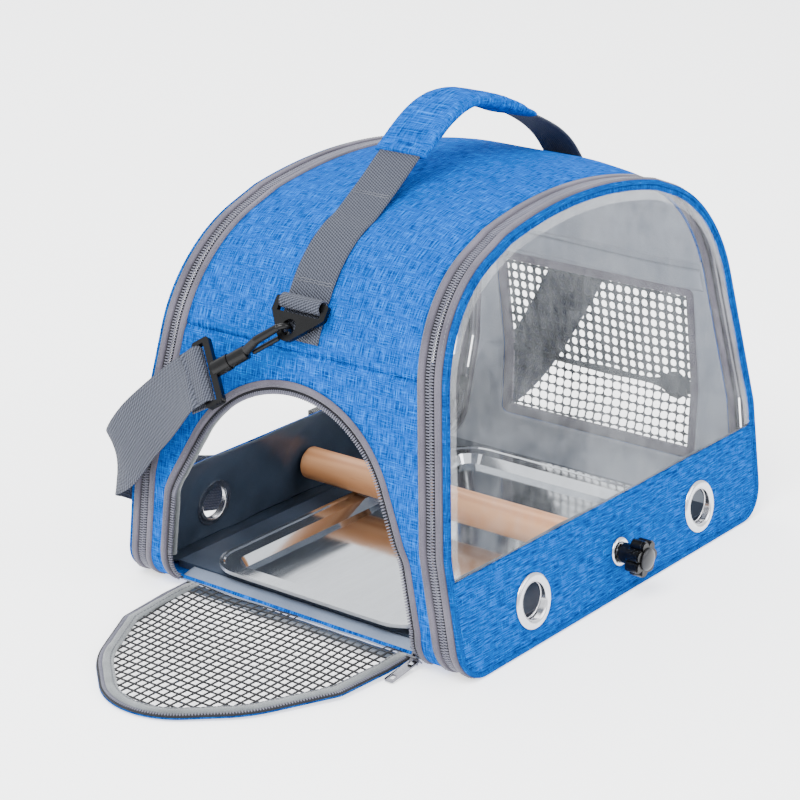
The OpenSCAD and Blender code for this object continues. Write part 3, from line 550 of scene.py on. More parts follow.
# dark and light tone, weave, fuzz, roughness, sheen, wear, tone of the dust, bump and its depth
looks = {
    "blueCloth": blueLook,
    "blueBand": dict(blueLook, Along=0.85, Dark=tint(0, 34, 88), Light=tint(0, 88, 180), Pale=tint(10, 128, 220)),
    "blueEdge": dict(blueLook, Dark=tint(0, 32, 80), Light=tint(0, 80, 164), Pale=tint(8, 116, 206)),
    "threadBlue": dict(blueLook, group="fine", Weave=0.3, Fuzz=0.4, Dark=tint(0, 30, 84), Light=tint(4, 58, 130),
                       solid=True),
    # the binding's tones are its own mauve grey, set darker overall as painted shade for where it curls away from the
    # light
    "greyBinding": clothLook((60, 57, 68), (98, 94, 106), 0.8, 0.3, 0.8, 0.2, 0.08, (88, 85, 94), 0.3, 0.0002),
    # the zip tape's near black is its own dark colour, deepened as painted shade in the gaps between the teeth
    "zipTape": clothLook((10, 10, 14), (24, 24, 30), 0.9, 0.2, 0.75, 0.1, 0.05, (40, 40, 48), 0.35, 0.0002),
    # the webbing's dark tone is the painted shade in its rib grooves
    "webbing": clothLook((24, 27, 36), (86, 90, 103), 0, 0, 0.75, 0.04, 0.05, (74, 76, 84), 0.8, 0.0006, group="ribs"),
    "softBinding": clothLook((72, 76, 78), (120, 125, 127), 0.1, 1.0, 0.95, 0.5, 0.1, (130, 136, 140), 0.7, 0.0006),
    "greyLining": clothLook((104, 109, 119), (132, 138, 148), 0.4, 0.1, 0.6, 0.1, 0.05, (110, 116, 126), 0.15),
    "darkLining": clothLook((30, 38, 50), (52, 63, 79), 0.2, 0.1, 0.3, 0.0, 0.08, (96, 108, 126), 0.15, shine=0.5),
    "boardCloth": clothLook((34, 42, 56), (58, 70, 88), 0.2, 0.1, 0.45, 0.05, 0.08, (96, 108, 126), 0.15, solid=True),
    "sillCloth": clothLook((96, 108, 128), (128, 140, 160), 0.5, 0.2, 0.6, 0.1, 0.05, (120, 132, 150), 0.2),
    "netDark": clothLook((8, 8, 10), (24, 24, 27), 0.2, 0.6, 0.7, 0.1, 0.05, (70, 70, 74), 0.3, solid=True),
    "netGrey": clothLook((34, 37, 42), (60, 64, 70), 0.2, 0.6, 0.7, 0.1, 0.05, (100, 104, 110), 0.3, solid=True),
    "threadGrey": clothLook((70, 72, 80), (104, 106, 114), 0.3, 0.4, 0.75, 0.1, 0.04, (110, 112, 118), 0.2, solid=True),
}
# tone, rubbed tone (on the nickels a painted dark reflection), lowest and highest roughness, wear, bump
hardLooks = {
    "zipCoil": hardLook((92, 92, 105), (128, 128, 140), (0.28, 0.45), 0.4, 0.05, 0.4),
    "blackPlastic": hardLook((4, 4, 5), (20, 20, 22), (0.26, 0.42), 0.25, 0.08, 0.22),
    "capPlastic": hardLook((34, 35, 38), (58, 58, 62), (0.3, 0.45), 0.3, 0.06, 0.3),
    # the nickels' darker rubbed tones are painted dark reflections in patches over the metal
    "nickel": hardLook((202, 202, 206), (150, 150, 156), (0.16, 0.3), 0.35, 0.03),
    "darkNickel": hardLook((112, 112, 118), (84, 84, 90), (0.2, 0.32), 0.4, 0.03),
    "satinTray": hardLook((214, 217, 221), (190, 194, 198), (0.34, 0.42), 0.3, 0.02),
    "brightTray": hardLook((204, 207, 211), (172, 177, 182), (0.07, 0.15), 0.3, 0.015, stretch=(0.2, 3, 3)),
}
materials = {name: clothMaterial(name, look) for name, look in looks.items()}
materials.update((name, hardMaterial(name, look)) for name, look in hardLooks.items())

woodLook = {"Dark": tint(192, 124, 78), "Light": tint(234, 176, 128)}
materials["beech"], tree, shader = newMaterial("beech", {"Roughness": 0.5, "Specular IOR Level": 0.35})
group = placeGroup(tree, "grain", dict(woodLook, Vector=objectOf(tree)))
feed(tree, shader.inputs["Base Color"], group.outputs["Color"])
giveBump(tree, shader, group.outputs["Height"], 0.15, 0.0003)

filmLook = {"sheet": (0.01, 0.07), "hem": (0.04, 0.24)}
materials["clearFilm"], tree, shader = newMaterial("clearFilm", {
    "Base Color": tint(240, 245, 250), "Roughness": 0.07, "Specular IOR Level": 0.4})
wear = placeGroup(tree, "wear", {"Vector": stretch(tree, objectOf(tree), (0.35, 1, 0.25)), "Amount": 1.0})
feed(tree, shader.inputs["Alpha"], span(tree, wear.outputs["Mask"], 0, 1, *filmLook["sheet"]))
giveBump(tree, shader, wear.outputs["Mask"], 0.04, 0.004)
materials["filmEdge"], tree, shader = newMaterial("filmEdge", {"Roughness": 0.25, "Coat Weight": 0.5})
wear = placeGroup(tree, "wear", {"Vector": objectOf(tree), "Amount": 0.6})
feed(tree, shader.inputs["Base Color"], mixOf(tree, wear.outputs["Mask"], tint(244, 246, 248), tint(205, 212, 220)))
feed(tree, shader.inputs["Alpha"], span(tree, wear.outputs["Mask"], 0, 1, *filmLook["hem"]))

print("materials made:", len(materials))


def makePiece(bm, name, finish, body, replaced=(), blend=None):
    mesh = meshOf(name, bm)
    for face in mesh.polygons:
        face.use_smooth = True
    mesh.materials.append(materials[finish])
    piece = addObject(name, mesh)
    if blend:
        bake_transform(piece)
    else:
        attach(piece, body)
    if replaced:
        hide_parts(*replaced)
    return piece


def thicken(piece, thickness, offset=-1.0):
    solid = piece.modifiers.new("thickness", "SOLIDIFY")
    solid.thickness = thickness*mm
    solid.offset = offset
    solid.use_even_offset = True


def sheetPiece(bm, way, thickness, name, finish, body, replaced=(), offset=-1.0):
    faceOut(bm, way)
    thicken(makePiece(bm, name, finish, body, replaced), thickness, offset)


def soften(piece):
    rounder = piece.modifiers.new("rounding", "SUBSURF")
    rounder.levels = rounder.render_levels = 1


stitchLook = {"size": (2.1, 0.45, 0.35), "soft": 0.12, "pitch": 3.0, "wide": (2.4, 0.45, 0.35), "widePitch": 3.4}


def sewRow(name, finish, body, points, outs, pitch=stitchLook["pitch"], size=stitchLook["size"]):
    # a row of stitches, with one direction outwards or one for each point
    outs = outs if isinstance(outs, list) else [outs]*len(points)
    makePiece(blocksMesh(stitchSpots(points, outs, pitch), size, stitchLook["soft"]), name, finish, body)


def waver(spot, scale, amount, seed=0):
    # smooth unevenness of cloth, the same on every run
    return amount*noise.noise(Vector(spot)*scale + Vector((seed*7.3, seed*3.1, 0)))


# End walls: a sheet between the opening's edge and the outside of the wall
doorway = {"arch": (0, 69, 84), "side": (73, 62, 22), "foot": (101, 26), "centre": 62, "sill": 3.2,
           "binding": 4.2, "tape": 7.4}
doorRaw = supportPath([doorway["arch"]] + mirrorBlobs(doorway["side"], doorway["foot"] + (0,)), 180, 0, 900)
netWindow = {"half": 80, "low": 26, "centre": 88, "high": 150, "edge": 7, "round": 5, "pitch": 6.6, "cord": 1.5}


def doorLine(low, step=2.0):
    half = doorway["foot"][0]
    return evenly([(-half, low)] + doorRaw + [(half, low)], step)


def windowLine():
    half, low, high, r = (netWindow[key] for key in ("half", "low", "high", "round"))
    points = []
    for ca, cb, start in ((half - r, low + r, 270), (half - r, high - r, 0), (-half + r, high - r, 90),
                          (-half + r, low + r, 180)):
        turns = [math.radians(start + 15*k) for k in range(7)]
        points += [(ca + r*math.cos(t), cb + r*math.sin(t)) for t in turns]
    return evenly(points, 2.5, side=-1, closed=True)


def rayOut(y, run, centreRun):
    # where a ray from the wall's middle leaves the wall, in (y, run)
    top = runAt(carrier["seam"])
    low, high = 1.0, 60.0
    for _ in range(40):
        t = (low + high)/2
        r = centreRun + (run - centreRun)*t
        outside = r >= top or r <= 0 or abs(y*t) >= edgeAt(alongLeg(legRuns, within(r, 0, top))[1])
        low, high = (low, t) if outside else (t, high)
    return y*low, within(centreRun + (run - centreRun)*low, 0, top)


def snapCorners(outer, corners):
    for corner in corners:
        k = min(range(len(outer)), key=lambda i: math.dist(outer[i], corner))
        outer[k] = corner


def wallDepth(y, z, run):
    # gentle puckers, a sewn groove at the seam, and flat where the bindings hold it
    hold = min(1.0, (edgeAt(z) - abs(y))/14)
    groove = 1.0*math.exp(-((carrier["seam"] - z)/1.5)**2)
    pull = 0.5*math.exp(-((carrier["seam"] - z)/9)**2)*(0.5 + 0.5*math.sin(y*0.42 + 2*math.sin(y*0.11)))
    return groove + max(0, hold)*(pull + 0.5*uneven(y*0.018, run*0.022, 1.7)) + 0.15


def leftWallMesh(depth=None, low=3.2):
    line = doorLine(low)
    inner = [(y, runAt(z)) for y, z, _, _, _ in line]
    outer = []
    for (y, z, _, _, _), (_, run) in zip(line, inner):
        straight = (math.copysign(edgeAt(z), y), run)
        outer.append(straight if z <= doorway["centre"] else rayOut(y, run, runAt(doorway["centre"])))
    top, edge = runAt(carrier["seam"]), edgeAt(carrier["seam"])
    snapCorners(outer, [(-edge, top), (edge, top)])
    count = 14

    def place(i, j):
        y, run = between(inner[i], outer[i], (j/count)**0.9)
        z = alongLeg(legRuns, run)[1]
        spot = wallPoint(-1, y, run, wallDepth(y, z, run) if depth is None else depth)
        return spot, (y, run)
    return gridMesh(len(line) - 1, count, place)


bm = leftWallMesh()
sill = runAt(doorway["sill"])
joinInto(bm, gridMesh(60, 4, lambda i, j: (wallPoint(-1, edgeAt(0)*(i/30 - 1), sill*j/4, 0.15),
                                           (edgeAt(0)*(i/30 - 1), sill*j/4))))
sheetPiece(bm, None, 2.8, "leftEndWall", "blueCloth", "carrier", ["left_end_wall"])


def rightWallMesh(depth=None):
    line = windowLine()
    centre = runAt(netWindow["centre"])
    inner = [(y, runAt(z)) for y, z, _, _, _ in line]
    outer = [rayOut(y, run, centre) for y, run in inner]
    top, edge = runAt(carrier["seam"]), edgeAt(carrier["seam"])
    snapCorners(outer, [(-edge, top), (edge, top), (-edgeAt(0), 0), (edgeAt(0), 0)])
    n, count = len(line), 14

    def place(i, j):
        y, run = between(inner[i % n], outer[i % n], j/count)
        z = alongLeg(legRuns, run)[1]
        return wallPoint(1, y, run, wallDepth(y, z, run) if depth is None else depth), (y, run)
    return gridMesh(n, count, place, closeAcross=True)


bm = rightWallMesh()
sheetPiece(bm, None, 2.8, "rightEndWall", "blueCloth", "carrier", ["right_end_wall"])

topLine = [p for p in archLine if p[1] >= carrier["seam"] - 1]
topCount = len(topLine) - 1


def crownPuff(z):
    # how far the top cloth swells between its two hoops
    t = within((z - 190)/50)
    return 6*t*t*(3 - 2*t)


def topPlace(i, j):
    x, z, nx, nz, run = topLine[i]
    if i in (0, topCount):
        z = carrier["seam"]
    t = j/40*2 - 1
    y = t*edgeAt(z)
    hold = 1 - t**6
    sag = 0.5*hold*uneven(x*0.02, y*0.02, 4.1) + 0.35*hold*uneven(x*0.05, y*0.03, 9.1)
    depth = 0.15 + sag - crownPuff(z)*(1 - t**4) + 1.0*math.exp(-((z - carrier["seam"])/1.5)**2)
    return (x - nx*depth, y, z - nz*depth), (y, run)


bm = gridMesh(topCount, 40, topPlace)
sheetPiece(bm, None, 2.8, "topCover", "blueCloth", "carrier", ["top_cover"])
print("walls and top made")

# Lining: both ends and the ceiling, with a stitched hem band above the openings
lining = {"depth": 4.5, "low": 3.4, "hemLow": 151, "hemHigh": 166}
liningLine = [p for p in archLine if p[1] >= carrier["seam"] - 3]
bm = gridMesh(len(liningLine) - 1, 30, lambda i, j: (
    (liningLine[i][0] - liningLine[i][2]*(lining["depth"] + 0.3 + waver((liningLine[i][0], j*7, 0), 0.02, 0.5, 2)),
     (j/15 - 1)*(edgeAt(liningLine[i][1]) - 0.3), liningLine[i][1] - liningLine[i][3]*(lining["depth"] + 0.3)),
    (liningLine[i][4], j*7.0)))
for part in (leftWallMesh(lining["depth"], lining["low"]), rightWallMesh(lining["depth"])):
    bmesh.ops.delete(part, geom=[v for v in part.verts if v.co.z < (lining["low"] - 1)*mm], context="VERTS")
    joinInto(bm, part)
sheetPiece(bm, None, 0.5, "cabinLining", "greyLining", "carrier", ["cabin_lining"])

low, high = runAt(lining["hemLow"]), runAt(lining["hemHigh"])
for end, name in ((-1, "leftLiningHem"), (1, "rightLiningHem")):
    def hemPlace(i, j):
        run = low + (high - low)*j/8
        half = edgeAt(alongLeg(legRuns, run)[1]) - 2
        y = half*(i/40 - 1)
        puff = 0.9*math.sin(math.pi*j/8)**0.6 + 0.25*math.sin(y*0.5)*math.sin(math.pi*j/8)
        return wallPoint(end, y, run + 1.2*math.sin(y*0.03), 4.9 + max(0, puff)), (y, run)
    bm = gridMesh(80, 8, hemPlace)
    faceOut(bm)
    bmesh.ops.reverse_faces(bm, faces=bm.faces)
    thicken(makePiece(bm, name, "greyLining", "carrier"), 0.4)

# Bindings, zip tapes and teeth in layers from the wrap's edge outwards
layers = {"zip1": 4.5, "slot1": 7.4, "slot2": 9.0, "zip2": 11.9, "cloth1": 16.4, "cloth2": 18.4, "proud": 0.8,
          "pitch": 1.75, "reach": 1.25, "slider": (33, 76)}


def tapeSection(a, b):
    # folded tape: rounded over both edges
    return [(a + 0.02, 3.1), (a, 1.2), (a, 0.1), (a + 0.35, -0.5), (a + 1.0, -layers["proud"] + 0.03),
            ((a + b)/2, -layers["proud"] - 0.02), (b - 1.0, -layers["proud"] + 0.03), (b - 0.35, -0.5), (b, 0.1),
            (b, 1.2), (b - 0.02, 3.1)]


def archRow(side, out, depth, line=archLine):
    return [archPoint(side, p, out, depth) for p in line]


def zipTeeth(side, root, tip, line):
    # teeth of one side of an arch zip, every other one left to the facing side
    spots = []
    step = layers["pitch"]
    runs = [p[4] for p in line]
    first = 0 if root < tip else step/2
    for k in range(int((runs[-1] - 4)/step)):
        i, t = placeIn(runs, 2 + first + k*step)
        p = between(line[i - 1], line[i], t)
        apart = p[0] > 0 and layers["slider"][0] < p[1] < layers["slider"][1]
        end = tip - math.copysign(layers["reach"], tip - root) if apart else tip
        middle = archPoint(side, p, (root + end)/2, 1.0)
        spots.append((middle, (0, side, 0), (p[2], 0, p[3]), abs(end - root)))
    return spots


def teethMesh(spots, width, height):
    return blocksMesh(spots, (0, width, height), 0.22)


for side, label in ((-1, "front"), (1, "back")):
    panel = "front_panel" if side < 0 else "carrier"
    z1, s1, s2, z2, c1 = (layers[k] for k in ("zip1", "slot1", "slot2", "zip2", "cloth1"))
    for a, b, name, body in ((0, z1, label + "_hoop_binding", "carrier"), (z2, c1, label + "_panel_binding", panel)):
        plain = name.replace("_", "")
        makePiece(archSweep(side, tapeSection(a, b), archLine), plain + "Tape", "greyBinding", body, [name])
        sewRow(plain + "Stitches", "threadGrey", body,
               archRow(side, (a + b)/2 + (1.1 if a else -1.1), -layers["proud"] - 0.05),
               [Vector((p[2], 0, p[3])) for p in archLine])
    for a, b, tip, name, body in ((z1, s1, 8.45, label + "_hoop_zip", "carrier"),
                                  (z2, s2, 7.95, label + "_panel_zip", panel)):
        plain = name.replace("_", "")
        bm = archSweep(side, roundStrip(min(a, b), max(a, b), 1.0, 1.8, 0.35, 2), archLine)
        makePiece(bm, plain + "Tape", "zipTape", body, [name])
        root = b - math.copysign(1.9, b - a)
        makePiece(teethMesh(zipTeeth(side, root, tip, archLine), 0.8, 1.9), plain + "Teeth", "zipCoil", body)
    # the piping that closes the panel's edge, with its cord inside
    bm = archSweep(side, circleSection(1.5, 12, c1 + 1.5, 1.5), archLoop, closed=True)
    makePiece(bm, label + "Piping", "blueEdge", panel, [label + "_piping"])
print("bindings and zips made")

# Panels: border round the window, lower band with its holes, lining behind it, gusset and clear sheet
panelLook = {"piping": 3.0, "border": 6.4, "sheet": 5.8, "band": 61.0, "eyeletX": 93, "eyeletZ": 27.2, "bore": 12.8,
             "grommet": 5.9, "liningIn": 3.5, "ring": (12.3, 1.5), "sheetOut": 17.4, "sheetMiddle": 142}
upperLine = [p for p in archLine if p[1] >= panelLook["band"] - 2]


def halfWidth(z, inset):
    # half the width of the arch, drawn in by inset, at height z
    return max((abs(x - nx*inset) for x, zz, nx, nz, _ in archFine if abs(zz - nz*inset - z) < 0.6), default=0)


archFine = evenly(archRaw, 0.8)


def bandMesh(side, out, inset, ripple, holes, above=0):
    rows, columns = 28, 150
    heights = [inset + (panelLook["band"] + above - inset)*(j/rows) for j in range(rows + 1)]
    halves = [max(halfWidth(z, inset), 145) if z < 24 else halfWidth(z, inset) for z in heights]

    def place(i, j):
        z = heights[j]
        x = (i/columns*2 - 1)*halves[j]
        return (x, sideY(side, out + ripple(x, z), z), z), (x, z)
    bm = gridMesh(columns, rows, place)
    for x, radius in holes:
        gone = [f for f in bm.faces if math.hypot(f.calc_center_median().x/mm - x,
                                                  f.calc_center_median().z/mm - panelLook["eyeletZ"]) < radius]
        bmesh.ops.delete(bm, geom=gone, context="FACES")
        for v in bm.verts:
            dx, dz = v.co.x/mm - x, v.co.z/mm - panelLook["eyeletZ"]
            gap = math.hypot(dx, dz)
            if v.is_boundary and gap < radius + 3.5:
                v.co.x, v.co.z = (x + dx/gap*radius)*mm, (panelLook["eyeletZ"] + dz/gap*radius)*mm
    return bm


def bandRipple(x, z):
    edge = math.exp(-((panelLook["band"] - z)/2.2)**2)
    return -0.25 - 0.35*edge + 0.22*uneven(x*0.03, z*0.05, 2.0) + 0.08*math.sin(x*0.9)*edge


def liningRipple(x, z):
    # soft folds that run down from the perch and the eyelets
    folds = 1.2*math.sin(x*0.05 + z*0.06 + 2.5*uneven(x*0.02, z*0.02, 5.0))
    fine = 1.1*uneven(x*0.05 + z*0.07, z*0.03 - x*0.02, 8.0)
    near = min(math.hypot(x - c*panelLook["eyeletX"], z - panelLook["eyeletZ"]) for c in (-1, 0, 1))
    return -(folds + fine + 2.2)*0.7*within((near - 16)/14)


for side, label in ((-1, "front"), (1, "back")):
    panel = "front_panel" if side < 0 else "carrier"
    c1, c2 = layers["cloth1"], layers["cloth2"]
    a, b = panelLook["piping"], panelLook["border"]
    section = [(c1, a), (c1 + 1.2, a - 0.1), (c2 - 0.3, a + 0.3), (c2, a + 1.4), (c2, b - 1.6), (c2 - 0.25, b - 1.2),
               (c2 - 0.1, b - 0.8), (c2 - 0.2, b - 0.3), (c2 - 0.7, b), (c1, b)]
    bm = archSweep(side, section, upperLine)
    makePiece(bm, label + "Border", "blueEdge", panel, [label + "_border"])
    lean = Vector((0, side, leanRun))
    sewRow(label + "BorderStitches", "threadBlue", panel, archRow(side, c2 - 0.2, b - 1.2, upperLine), lean,
           stitchLook["widePitch"], stitchLook["wide"])

    eyelets = (-panelLook["eyeletX"], panelLook["eyeletX"])
    holes = [(x, panelLook["bore"]) for x in eyelets] + ([(0, panelLook["grommet"])] if side < 0 else [])
    bm = bandMesh(side, c2, a, bandRipple, holes)
    sheetPiece(bm, (0, side, 0), 1.7, label + "Band", "blueBand", panel, [label + "_band"])
    seamZ = panelLook["band"] - 3.2
    sewRow(label + "BandStitches", "threadBlue", panel,
           [Vector((x*2.0, sideY(side, c2 - 0.28, seamZ), seamZ)) for x in range(-76, 77)], lean,
           stitchLook["widePitch"], (2.4, 0.45, 0.4))
    low = [Vector(archPoint(side, p, c2 - 0.2, a + 2.2)) for p in archLoop
           if p[1] - p[3]*(a + 2.2) < panelLook["band"] - 6]
    runs = [[low[0]]]
    for spot in low[1:]:
        if (spot - runs[-1][-1]).length < 6:
            runs[-1].append(spot)
        else:
            runs.append([spot])
    spots = [s for run in runs if len(run) > 2 for s in stitchSpots(run, [lean]*len(run), stitchLook["widePitch"])]
    makePiece(blocksMesh(spots, stitchLook["wide"], stitchLook["soft"]), label + "EdgeStitches", "threadBlue", panel)

    bm = bandMesh(side, c1 - 0.15, panelLook["liningIn"], liningRipple, holes, 0.9 if side > 0 else 0)
    sheetPiece(bm, (0, side, 0), 0.45, label + "BandLining", "darkLining", panel, [label + "_band_lining"])

    # nickel washers round the eyelets on the lining's side
    bm = bmesh.new()
    radius, width = panelLook["ring"]
    ring = [(c1 - 0.75 + 0.55*math.cos(k*math.tau/10), radius + width*math.sin(k*math.tau/10)) for k in range(10)]
    for x in eyelets:
        rings = []
        for k in range(48):
            co, si = math.cos(k*math.tau/48), math.sin(k*math.tau/48)
            rings.append([bm.verts.new(Vector((x + r*co, sideY(side, o, panelLook["eyeletZ"]),
                                               panelLook["eyeletZ"] + r*si))*mm) for o, r in ring])
        for k, here in enumerate(rings):
            there = rings[(k + 1) % 48]
            for m in range(10):
                n = (m + 1) % 10
                bm.faces.new((here[m], here[n], there[n], there[m]))
    bmesh.ops.recalc_face_normals(bm, faces=bm.faces)
    bm.loops.layers.uv.new("UVMap")
    makePiece(bm, label + "EyeletWashers", "nickel", panel)

    # dark gusset between the board and the band's lining
    _, edgeY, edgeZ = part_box("base_board")[1]/mm

    def gussetPlace(i, j):
        t, x = j/8, (i/60 - 1)*141
        out = edgeY - 1.5 + (carrier["depth"]/2 + layers["cloth1"] + 0.3 - edgeY)*t
        sink = edgeZ - 0.4 + (4.4 - edgeZ)*t - 0.9*math.sin(math.pi*t)
        return (x, side*out, sink + 0.25*uneven(x*0.06, out*0.08, 3.0)), (x, out)
    sheetPiece(gridMesh(120, 8, gussetPlace), (0, 0, 1), 0.5, label + "Gusset", "darkLining", "carrier")

    # clear sheet, fanned from its middle to its edge
    inset, foot = panelLook["sheet"], panelLook["band"] + 0.3
    rim = [(p[0] - p[2]*inset, p[1] - p[3]*inset) for p in upperLine if p[1] - p[3]*inset > foot + 0.1]
    rim = evenly([(rim[0][0], foot)] + rim + [(rim[-1][0], foot)], 3.0, closed=True)
    n, rings = len(rim), 26

    def sheetPlace(i, j):
        t = 1 - (1 - j/rings)**1.15
        x, z = between((0, panelLook["sheetMiddle"]), rim[i % n], t)
        hold = 1 - t**5
        bulge = 0.35*math.sin(x*0.035 + 0.8)*math.cos(z*0.028) + 0.4*uneven(x*0.016, z*0.011, 3.3)
        return (x, sideY(side, panelLook["sheetOut"] + hold*bulge*1.1, z), z), (x, z)
    bm = gridMesh(n, rings, sheetPlace, closeAcross=True)
    bmesh.ops.remove_doubles(bm, verts=bm.verts, dist=1e-5)
    sheetPiece(bm, (0, side, 0), 0.4, label + "ClearSheet", "clearFilm", panel, [label + "_window"], 0.0)
    # the sheet's hem, a milky strip just inside the border
    edge = [p for p in upperLine if p[1] - p[3]*12.6 > panelLook["band"] + 0.5]
    bm = archSweep(side, [(17.95, 6.2), (18.1, 8), (18.35, 9.4), (18.2, 11), (17.85, 12.4), (17.6, 12.4), (17.7, 9),
                          (17.7, 6.2)], edge)
    for v in bm.verts:
        v.co.y += side*waver(v.co/mm, 0.05, 0.5, 2)*mm
    makePiece(bm, label + "SheetEdge", "filmEdge", panel)
print("panels made")

# Doorway: binding, tape, teeth, and the soft edge inside
def doorwayPoint(spot, inset, depth):
    y, z, ny, nz, _ = spot
    return wallPoint(-1, y - ny*inset, runAt(max(z - nz*inset, 0)), depth)


def doorwaySweep(section, line):
    return sweepMesh(len(line) - 1, section, lambda i, a, b: (doorwayPoint(line[i], a, b), line[i][4]))


line = doorLine(2.7)
makePiece(doorwaySweep(tapeSection(0, doorway["binding"]), line), "doorwayBindingTape", "greyBinding", "carrier",
          ["doorway_binding"])
makePiece(doorwaySweep(roundStrip(doorway["binding"], doorway["tape"] - 0.2, 0.9, 1.8, 0.35, 2), line),
          "doorwayZipTape", "zipTape", "carrier", ["doorway_zip"])
sewRow("doorwayStitches", "threadGrey", "carrier", [doorwayPoint(p, 3.1, -layers["proud"] - 0.05) for p in line],
       Vector((-1, 0, 0.15)))
spots = []
for p in evenly([p[:2] for p in doorLine(4.5, 1.0)], layers["pitch"])[1:-1]:
    at = Vector(doorwayPoint(p, 7.1, 1.0))
    inwards = Vector(doorwayPoint(p, 8.1, 1.0)) - at
    spots.append((at, inwards, (-1, 0, 0.1), 2.6))
makePiece(teethMesh(spots, 0.75, 2.1), "doorwayTeeth", "zipCoil", "carrier")
bm = doorwaySweep(circleSection(1.8, 10, 5.4, 6.6), doorLine(20, 3.0))
for v in bm.verts:
    v.co += Vector((waver(v.co/mm, 0.11, 0.5, 3), waver(v.co/mm, 0.13, 0.5, 5), 0))*mm
soften(makePiece(bm, "doorwaySoftEdge", "softBinding", "carrier"))

# Door flap, laid open on the floor
flap = {"hinge": (-158.25, 4.2), "droop": 0.9, "base": 88.1, "edge": 9.0, "cell": (6.2, 5.6), "cord": 1.25,
        "netEnd": 142}
flapBlobs = [(64.8, 0, 74), (57.8, 73, 12), (57.8, -73, 12), (21.8, 91, 0), (21.8, -91, 0), (96.48, 0, 50.32)]
flapLine = evenly([(max(a, 0.6), max(-flap["base"], min(flap["base"], b)))
                   for a, b in [(0.6, -flap["base"])] + supportPath(flapBlobs, -90, 90, 900) + [(0.6, flap["base"])]],
                  2.0, side=-1)
droopCos, droopSin = math.cos(math.radians(flap["droop"])), math.sin(math.radians(flap["droop"]))


def flapPoint(out, y, height):
    return (flap["hinge"][0] - out*droopCos - height*droopSin, -y, flap["hinge"][1] - out*droopSin + height*droopCos)


def flapSweep(section):
    def at(i, a, b):
        out, y, na, nb, run = flapLine[i]
        return flapPoint(max(out - na*a, 0.5), y - nb*a, b), run
    return sweepMesh(len(flapLine) - 1, section, at)


makePiece(flapSweep(roundStrip(0, 3.3, -1.4, -0.3, 0.5)), "flapRim", "blueEdge", "door", ["door_rim"])
makePiece(flapSweep(roundStrip(0.25, 3.3, -0.25, 0.55, 0.25, 2)), "flapZipTape", "zipTape", "door", ["door_zip"])
spots = []
for out, y, na, nb, _ in evenly([p[:2] for p in flapLine if p[0] > 4.5], layers["pitch"], side=-1):
    outwards = Vector(flapPoint(out + na, y + nb, 0)) - Vector(flapPoint(out, y, 0))
    spots.append((flapPoint(out - na*2.6, y - nb*2.6, 0.75), outwards, (0, 0, 1), 2.3))
makePiece(teethMesh(spots, 0.85, 0.9), "flapTeeth", "zipCoil", "door")
bm = flapSweep([(3.45, -0.9), (3.3, 0.3), (3.9, 1.3), (5.2, 1.9), (7.0, 1.9), (8.2, 1.5), (8.8, 1.6), (9.8, 1.2),
                (10.4, 0.4), (10.0, -0.7), (7.5, -1.1), (5.0, -1.2)])
for v in bm.verts:
    # flatter where the hinge folds it
    near = within((flap["hinge"][0] - v.co.x/mm - 4)/16)
    v.co.z = min(v.co.z, (flap["hinge"][1] + 0.9 + 2.0*near)*mm)
    v.co.z += max(-0.2, waver(v.co/mm, 0.13, 0.5, 4))*mm
makePiece(bm, "flapBinding", "softBinding", "door", ["door_binding"])
sewRow("flapStitches", "threadGrey", "door",
       [flapPoint(max(p[0] - p[2]*8.4, 0.6), p[1] - p[3]*8.4, 2.0) for p in flapLine], Vector((0, 0, 1)),
       size=(2.0, 0.5, 0.35))


def insideFlap(out, y, inset):
    # true inside the flap's outline drawn in by inset
    if out < 0.8 or abs(y) > flap["base"] - inset:
        return False
    p = min(flapLine, key=lambda q: (q[0] - out)**2 + (q[1] - y)**2)
    return (p[0] - out)*p[2] + (p[1] - y)*p[3] > inset


def flapNetPlace(i, j):
    # square net on the flap's axes, pulled askew near the hinge
    out, y = (i - 0.4)*flap["cell"][0], (j - 17)*flap["cell"][1]
    askew = math.exp(-(out/38)**2)*math.exp(-((y + 62)/34)**2)
    wave = uneven(out*0.016, y*0.016, 6.0)
    moved = (out + 3.4*askew*(y + 88)/40 + 2.2*wave, y - 7*askew + 2.4*uneven(out*0.02, y*0.014, 2.0))
    return flapPoint(*moved, 0.25*wave), (out, y)


bm = gridMesh(27, 34, flapNetPlace)
away = []
for f in bm.faces:
    c = f.calc_center_median()/mm
    out = flap["hinge"][0] - c.x
    if out > flap["netEnd"] or not insideFlap(out, -c.y, flap["edge"] - 1.8):
        away.append(f)
bmesh.ops.delete(bm, geom=away, context="FACES")
openCells(bm, flap["cord"])
thicken(makePiece(bm, "flapNet", "netDark", "door", ["door_net"]), 0.6, 0.0)


def stripPlace(i, j):
    height = 0.1*math.sin(i*0.7) + 0.3*math.sin(math.pi*j/8) - 0.75
    return flapPoint(0.7 + 8.5*j/8, (i/35 - 1)*79, height), (i*2.3, j*1.1)


# dark strip of the flap along the hinge line, under the net, and the pale sill inside it
sheetPiece(gridMesh(70, 8, stripPlace), (0, 0, 1), 0.5, "flapHingeStrip", "darkLining", "door")
sillLook = {"from": (-143.6, 6.9), "to": (-157.0, 3.9), "half": 96}


def sillPlace(i, j):
    t = j/10
    x, z = between(sillLook["from"], sillLook["to"], t)
    z += 0.35*math.sin(math.pi*t)
    y = sillLook["half"]*(i/45 - 1)
    return (x, y, z + 0.12*math.sin(y*0.21 + 2*math.sin(y*0.05))), (y, 14*t)


sheetPiece(gridMesh(90, 10, sillPlace), (0, 0, 1), 0.6, "doorSill", "sillCloth", "carrier")
print("door made")

# Net of the right end wall and its binding
w = netWindow
across = round(2*(w["half"] - w["edge"])/w["pitch"]) + 1
up = round((w["high"] - w["low"] - 2*w["edge"])/w["pitch"]) + 1


